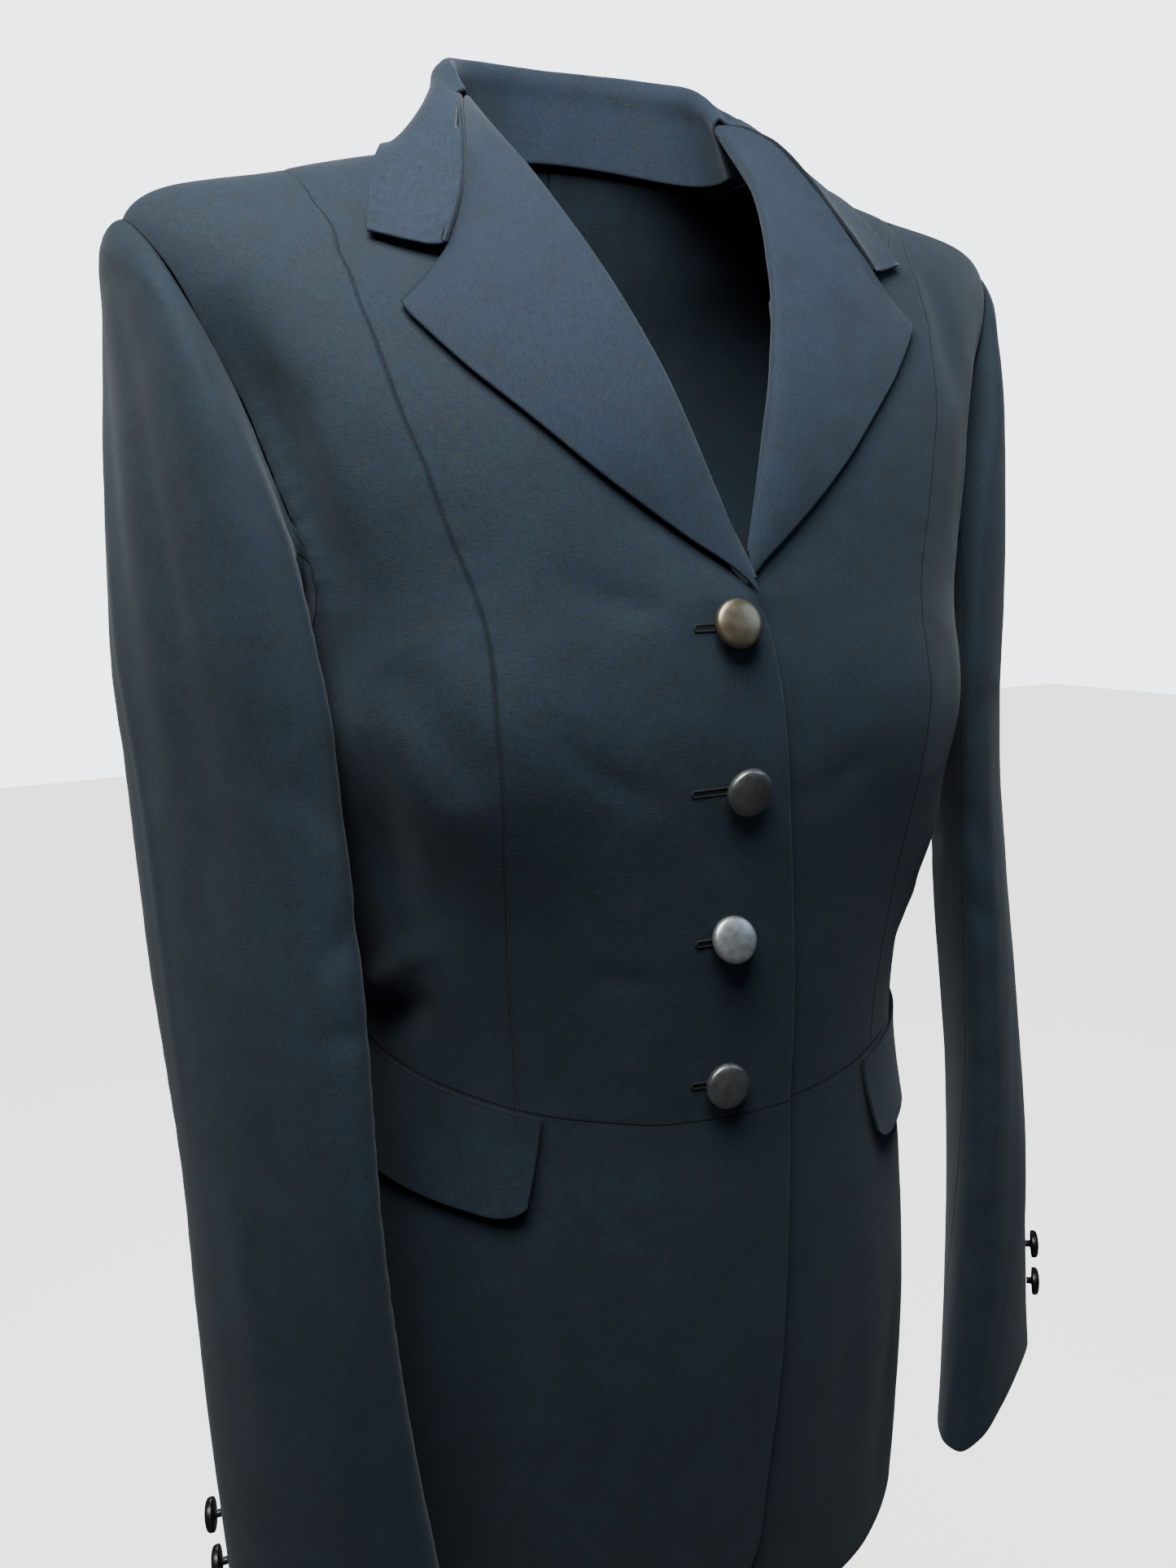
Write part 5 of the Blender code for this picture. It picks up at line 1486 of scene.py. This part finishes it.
# %% Upper and under sleeves
for side, word in SIDES:
    for name, upper in (("upper_sleeve", True), ("under_sleeve", False)):
        node = f"{name}_{word}"
        piece = lay(
            node.replace("_", "-"), fine_grid(sleeve_grid(side, upper)), CLOTH, side, CUTS[name],
            folds=f"{word} sleeve", seams=(1, 1, 1, 0))
        piece.data.materials.append(COAT_WOOL)
        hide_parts(node)

# %% [markdown]
# ## The buttons' metal
#
# The front buttons are all of one old grey metal, and the cuff buttons are almost black. The first front
# button is painted brassy, a painted warm glint, and the third is painted pale, a painted reflection.
# Rubbing shows as cloudy patches of a paler metal.

# %% The button cover's finish
WORN, GRAIN = 260.0, 2600.0     # noise to a metre: rubbed patches, fine grain of the cover

gloss, gloss_in, gloss_out = group_with(
    "button cover",
    [
        ("Dark", "NodeSocketColor", (0.010, 0.012, 0.016, 1)),
        ("Worn", "NodeSocketColor", (0.05, 0.05, 0.05, 1)),
    ],
    SURFACE,
)
button_space = add_node(gloss, "ShaderNodeTexCoord").outputs["Object"]
rubbed = cloudy(gloss, button_space, WORN, 3.0, 0.6)
cover_colour = mixed(
    gloss, maths(gloss, "MULTIPLY", rubbed, 0.8), gloss_in.outputs["Dark"], gloss_in.outputs["Worn"])
cover_rough = maths(gloss, "ADD", 0.24, maths(gloss, "MULTIPLY", rubbed, 0.25))
cover_grain = cloudy(gloss, button_space, GRAIN, 2.0)
for socket, value in (("Color", cover_colour), ("Roughness", cover_rough), ("Height", cover_grain)):
    gloss.links.new(value, gloss_out.inputs[socket])


def button_material(name, dark, worn, metal):
    values = {"Metallic": metal, "Coat Weight": 0.25, "Coat Roughness": 0.22}
    return dressed_shader(name, gloss, 0.12, 0.0002, values, Dark=dark, Worn=worn)


# painted light: the first button's brassy colours are a painted glint and the third's pale ones a painted
# reflection, on the same grey metal
TOP_BUTTON_PAINTED_GLINT = button_material("grey button metal with painted glint", (0.085, 0.074, 0.052), (0.230, 0.205, 0.150), 0.8)
FRONT_BUTTON_METAL = button_material("grey button metal", (0.070, 0.078, 0.084), (0.210, 0.228, 0.240), 0.8)
BUTTON_METAL_PAINTED_REFLECTION = button_material("grey button metal with painted reflection", (0.170, 0.190, 0.205), (0.440, 0.480, 0.510), 0.8)
CUFF_BUTTON_METAL = button_material("cuff button metal", (0.012, 0.013, 0.016), (0.040, 0.041, 0.044), 0.7)
print("the button cover's group has", len(gloss.nodes), "nodes")

# %% [markdown]
# ## Buttons
#
# Four domed buttons close the front and two sit on each cuff. Each starts as a ring at the rim, which is
# extruded up in steps to make the dome, closed at its pole, and extruded down to make the shank.

# %% One button
BUTTON_POINTS = 48          # round a button
SMOOTH_ANGLE = math.radians(50)
ON_CENTRE = 1e-6            # a point this near to a plane lies on it
BUTTON_PROFILE = (          # share of the radius, share of the height, from the rim up to the pole
    (1.0, 0.50), (1.0, 0.60), (0.99, 0.68), (0.965, 0.75), (0.93, 0.80), (0.87, 0.845), (0.76, 0.885),
    (0.60, 0.925), (0.42, 0.955), (0.22, 0.975), (0.06, 0.98),
)
SHANK_PROFILE = ((0.985, 0.44), (0.93, 0.40), (0.62, 0.37), (0.30, 0.36), (0.24, 0.30), (0.24, 0.0))


def deselect_all():
    if bpy.context.mode != "OBJECT":
        bpy.ops.object.mode_set(mode="OBJECT")
    bpy.ops.object.select_all(action="DESELECT")


def select_points(made, wanted):
    """Selects the points of a mesh whose own place is wanted, and stays in edit mode."""
    bpy.ops.object.mode_set(mode="EDIT")
    bpy.ops.mesh.select_mode(type="VERT")
    bpy.ops.mesh.select_all(action="DESELECT")
    bpy.ops.object.mode_set(mode="OBJECT")
    for vert in made.data.vertices:
        vert.select = wanted(vert.co)
    bpy.ops.object.mode_set(mode="EDIT")


def domed_button(name, place, normal, radius, height, cover):
    """A domed button on a shank, standing on the cloth at place."""
    deselect_all()
    turned = mathutils.Vector(normal).to_track_quat("Z", "Y").to_euler()
    low = mathutils.Vector(place) + mathutils.Vector(normal) * height * BUTTON_PROFILE[0][1]
    bpy.ops.mesh.primitive_circle_add(
        vertices=BUTTON_POINTS, radius=radius, fill_type="NOTHING", location=low, rotation=turned)
    made = bpy.context.object
    made.name = made.data.name = name
    for profile in (BUTTON_PROFILE[1:], SHANK_PROFILE):
        select_points(made, lambda at: abs(at.z) < ON_CENTRE)
        wide, high = BUTTON_PROFILE[0]
        for next_wide, next_high in profile:
            step = {"value": (0, 0, (next_high - high) * height), "orient_type": "LOCAL"}
            bpy.ops.mesh.extrude_region_move(TRANSFORM_OT_translate=step)
            bpy.ops.transform.resize(value=(next_wide / wide,) * 2 + (1,), orient_type="LOCAL")
            wide, high = next_wide, next_high
        bpy.ops.mesh.edge_face_add()
        bpy.ops.mesh.poke()
    bpy.ops.mesh.select_all(action="SELECT")
    bpy.ops.mesh.normals_make_consistent(inside=False)
    bpy.ops.object.mode_set(mode="OBJECT")
    bpy.ops.object.transform_apply(location=True, rotation=True, scale=True)
    bpy.ops.object.shade_smooth_by_angle(angle=SMOOTH_ANGLE)
    made.data.materials.append(cover)
    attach(made, "root")
    return made


print("a front button is", BUTTON_RADIUS * 2000, "mm wide and", BUTTON_HEIGHT * 1000, "mm high")

# %% [markdown]
# ## Setting the buttons
#
# A front button stands on the right front and nods on its shank, each by its own angle. A cuff button stands
# straight on the sleeve, near its back seam.

# %% Front buttons and cuff buttons
BUTTON_TILTS = (8.0, -5.0, 25.0, 9.0)    # degrees that each button nods upwards on its shank
# the first and third front buttons carry a painted glint and a painted reflection
FRONT_METALS = (TOP_BUTTON_PAINTED_GLINT, FRONT_BUTTON_METAL, BUTTON_METAL_PAINTED_REFLECTION, FRONT_BUTTON_METAL)
SHANK_ROOM, CUFF_SHANK_ROOM = 0.0003, 0.0002    # a shank stands this far off the cloth

for number, ((height, x), tilt, metal) in enumerate(zip(FRONT_BUTTONS, BUTTON_TILTS, FRONT_METALS), 1):
    ring = ring_at_height(0.0, height)
    angle = angle_at_x(x, ring)
    normal = body_normal(angle, ring)
    upwards, tilt = np.array([0.0, 0.0, 1.0]) - normal * normal[2], math.radians(tilt)
    faced = normal * math.cos(tilt) + upwards / np.linalg.norm(upwards) * math.sin(tilt)
    place = on_body(angle, ring, OVERLAP_RAISE + SHANK_ROOM)
    made = domed_button(f"front-button-{number}", place, faced, BUTTON_RADIUS, BUTTON_HEIGHT, metal)
    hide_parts(f"front_button_{number}")

for side, word in SIDES:
    turn = CUFF_BUTTONS[side][0]
    for number, share in enumerate(CUFF_BUTTONS[side][1:], 1):
        around = sleeve_point(side, share, turn + 4.0) - sleeve_point(side, share, turn - 4.0)
        down = sleeve_point(side, share + 0.02, turn) - sleeve_point(side, share - 0.02, turn)
        normal = np.cross(around, down) * side
        normal /= np.linalg.norm(normal)
        place = sleeve_point(side, share, turn) + normal * CUFF_SHANK_ROOM
        made = domed_button(
            f"cuff-button-{word}-{number}", place, normal, CUFF_BUTTON_RADIUS, CUFF_BUTTON_HEIGHT,
            CUFF_BUTTON_METAL)
        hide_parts(f"cuff_button_{word}_{number}")
print(len(FRONT_BUTTONS), "front buttons and", 2 * len(SIDES), "cuff buttons are set")

# %% [markdown]
# ## Buttonholes
#
# The right front laps over the left one, and a worked hole runs across it from behind each button. A hole is
# a slit with a ring of close stitches round it: a torus drawn out to the slit's length, over a near-black
# plate that is painted shade for the slit's gap.

# %% Worked buttonholes in the right front
HOLE_LENGTH = 0.0215
HOLE_STARTS = (0.0055, -0.0010, 0.0070, 0.0075)     # how far each button hides the near end of its hole
STITCH_RING, STITCH_SIZE = 0.0013, 0.00055          # radius of the ring of stitches and of its thread
SLIT_RADIUS, SLIT_DEPTH = 0.0011, 0.0005
HOLE_RAISE = 0.0001
THREAD = wool_material("buttonhole thread", (0.0016, 0.0036, 0.0065), (0.0050, 0.0100, 0.0170), 0.05)
# painted shade: a near-black plate that stands for the shadow in the slit
SLIT_PAINTED_SHADE = wool_material("painted shade of the slit", (0.0004, 0.0006, 0.0008), (0.0010, 0.0014, 0.0018), 0.0)


def draw_out(made, distance):
    """Moves the half of a ring or plate that lies ahead of its centre, so that it becomes long."""
    select_points(made, lambda at: at.x > ON_CENTRE)
    bpy.ops.transform.translate(value=(distance, 0, 0), orient_type="LOCAL")
    bpy.ops.object.mode_set(mode="OBJECT")
    bpy.ops.object.transform_apply(location=True, rotation=True, scale=True)


for number, ((height, x), hidden) in enumerate(zip(FRONT_BUTTONS, HOLE_STARTS), 1):
    ring = ring_at_height(0.0, height)
    start, end = (
        on_body(angle_at_x(x + shift, ring), ring, OVERLAP_RAISE)
        for shift in (hidden, hidden - HOLE_LENGTH))
    normal = body_normal(angle_at_x(x - HOLE_LENGTH / 2, ring), ring)
    along = (end - start) / np.linalg.norm(end - start)
    facing_out = mathutils.Matrix([along, np.cross(normal, along), normal]).transposed().to_euler()
    at = mathutils.Vector(start + normal * HOLE_RAISE)
    for part, material in (("stitches", THREAD), ("slit", SLIT_PAINTED_SHADE)):
        deselect_all()
        if part == "stitches":
            bpy.ops.mesh.primitive_torus_add(
                major_segments=28, minor_segments=10, major_radius=STITCH_RING, minor_radius=STITCH_SIZE,
                location=at, rotation=facing_out)
        else:
            bpy.ops.mesh.primitive_cylinder_add(
                vertices=24, radius=SLIT_RADIUS, depth=SLIT_DEPTH, location=at, rotation=facing_out)
        made = bpy.context.object
        made.name = made.data.name = f"buttonhole-{number}-{part}"
        draw_out(made, HOLE_LENGTH)
        bpy.ops.object.shade_smooth_by_angle(angle=SMOOTH_ANGLE)
        made.data.materials.append(material)
        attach(made, "root")
print(f"{len(FRONT_BUTTONS)} buttonholes, each {HOLE_LENGTH * 1000:.0f} mm long")

# %% [markdown]
# ## The studio
#
# A flat pale floor lies under the coat and a pale sky stands behind it. Both look bright to the camera but
# light the coat only a little. Four big soft lamps do that: one overhead, a warm one high on the coat's near
# side, a weak blue one on the far side, and one behind for the shoulders.

# %% Floor and sky
SKY = 0.03                  # strength of the light that the sky sheds on the coat
SKY_COLOUR = (0.92, 0.96, 1.0)
BACKGROUND = 4.0            # strength of the same sky where the camera sees it
FLOOR_GLOW = 3.0
FLOOR_SIZE, FLOOR_HEIGHT = 16.0, -1.42


def pale_paint():
    """A pale floor. What reaches the coat from it is dim, as from a floor that is far from the lamps."""
    made = bpy.data.materials.new("pale studio paint")
    made.use_nodes = True
    tree = made.node_tree
    shader = tree.nodes["Principled BSDF"]
    place = add_node(tree, "ShaderNodeTexCoord").outputs["Object"]
    tone = mixed(tree, cloudy(tree, place, 1.2), (0.78, 0.78, 0.78, 1), (0.82, 0.82, 0.82, 1))
    seen = add_node(tree, "ShaderNodeLightPath").outputs["Is Camera Ray"]
    tree.links.new(mixed(tree, seen, (0.16, 0.16, 0.16, 1), tone), shader.inputs["Base Color"])
    tree.links.new(mixed(tree, seen, (0.0, 0.0, 0.0, 1), tone), shader.inputs["Emission Color"])
    shader.inputs["Emission Strength"].default_value = FLOOR_GLOW
    shader.inputs["Roughness"].default_value = 0.9
    return made


deselect_all()
bpy.ops.mesh.primitive_plane_add(size=FLOOR_SIZE, location=(0.0, 0.0, FLOOR_HEIGHT))
floor = bpy.context.object
floor.name = "studio-floor"
floor.data.materials.append(pale_paint())

world = bpy.data.worlds.new("studio sky")
bpy.context.scene.world = world
world.use_nodes = True
sky = world.node_tree
sky.nodes["Background"].inputs["Color"].default_value = (*SKY_COLOUR, 1)
seen = add_node(sky, "ShaderNodeLightPath").outputs["Is Camera Ray"]
strength = maths(sky, "ADD", SKY, maths(sky, "MULTIPLY", seen, BACKGROUND - SKY))
sky.links.new(strength, sky.nodes["Background"].inputs["Strength"])
print("the floor lies at z", FLOOR_HEIGHT)

# %% [markdown]
# ## The lamps
#
# A big lamp makes a shadow with a soft edge. The table says where each one stands and what it points at.

# %% Lamps
LAMPS = (
    # name, place, what it points at, width, power in watts, colour
    ("ceiling lamp", (-0.24, -0.44, 0.46), (-0.06, -0.08, -0.10), 0.58, 19.5, (1.0, 0.97, 0.93)),
    ("side lamp", (-0.98, -0.40, 0.80), (-0.1, -0.05, -0.10), 0.42, 9.5, (1.0, 0.90, 0.78)),
    ("far lamp", (1.0, -0.75, 0.35), (0.02, -0.10, -0.22), 0.70, 4.0, (0.60, 0.81, 1.0)),
    ("back lamp", (0.5, 1.7, 0.9), (0.0, 0.0, -0.3), 1.2, 24.0, (1.0, 1.0, 1.0)),
)


def soft_lamp(name, place, target, size, power, colour):
    lamp = bpy.data.lights.new(name, "AREA")
    lamp.shape, lamp.size, lamp.energy, lamp.color = "DISK", size, power, colour
    obj = bpy.data.objects.new(name, lamp)
    obj.location = place
    way = mathutils.Vector(target) - mathutils.Vector(place)
    obj.rotation_euler = way.to_track_quat("-Z", "Y").to_euler()
    obj.visible_camera = False
    bpy.context.scene.collection.objects.link(obj)


for lamp in LAMPS:
    soft_lamp(*lamp)
print(len(LAMPS), "soft lamps")

# %% [markdown]
# ## The camera
#
# The camera stands a little to the coat's right and below its shoulders, where the photograph was taken.

# %% Camera
FOCAL = 1449.57             # focal length in pixels of an image 1445 wide and 1926 high
IMAGE_HEIGHT = 1926.0
SENSOR = 36.0
CAMERA_PLACE = (-0.23910, -0.53653, -0.19566)
RIGHT = (0.92105593, -0.38681201, -0.0450826)       # of the picture, in the coat's own frame
UP = (0.1094637, 0.14605782, 0.98320131)
BACKWARDS = (-0.3737294, -0.91051831, 0.17686929)   # from the coat towards the camera

lens = bpy.data.cameras.new("camera")
lens.sensor_width = SENSOR
lens.lens = FOCAL * SENSOR / IMAGE_HEIGHT
lens.clip_start, lens.clip_end = 0.01, 50.0
camera = bpy.data.objects.new("camera", lens)
camera.matrix_world = mathutils.Matrix(
    ((*RIGHT, 0), (*UP, 0), (*BACKWARDS, 0), (*CAMERA_PLACE, 1))).transposed()
bpy.context.scene.collection.objects.link(camera)
bpy.context.scene.camera = camera
print(f"a lens of {lens.lens:.1f} mm")
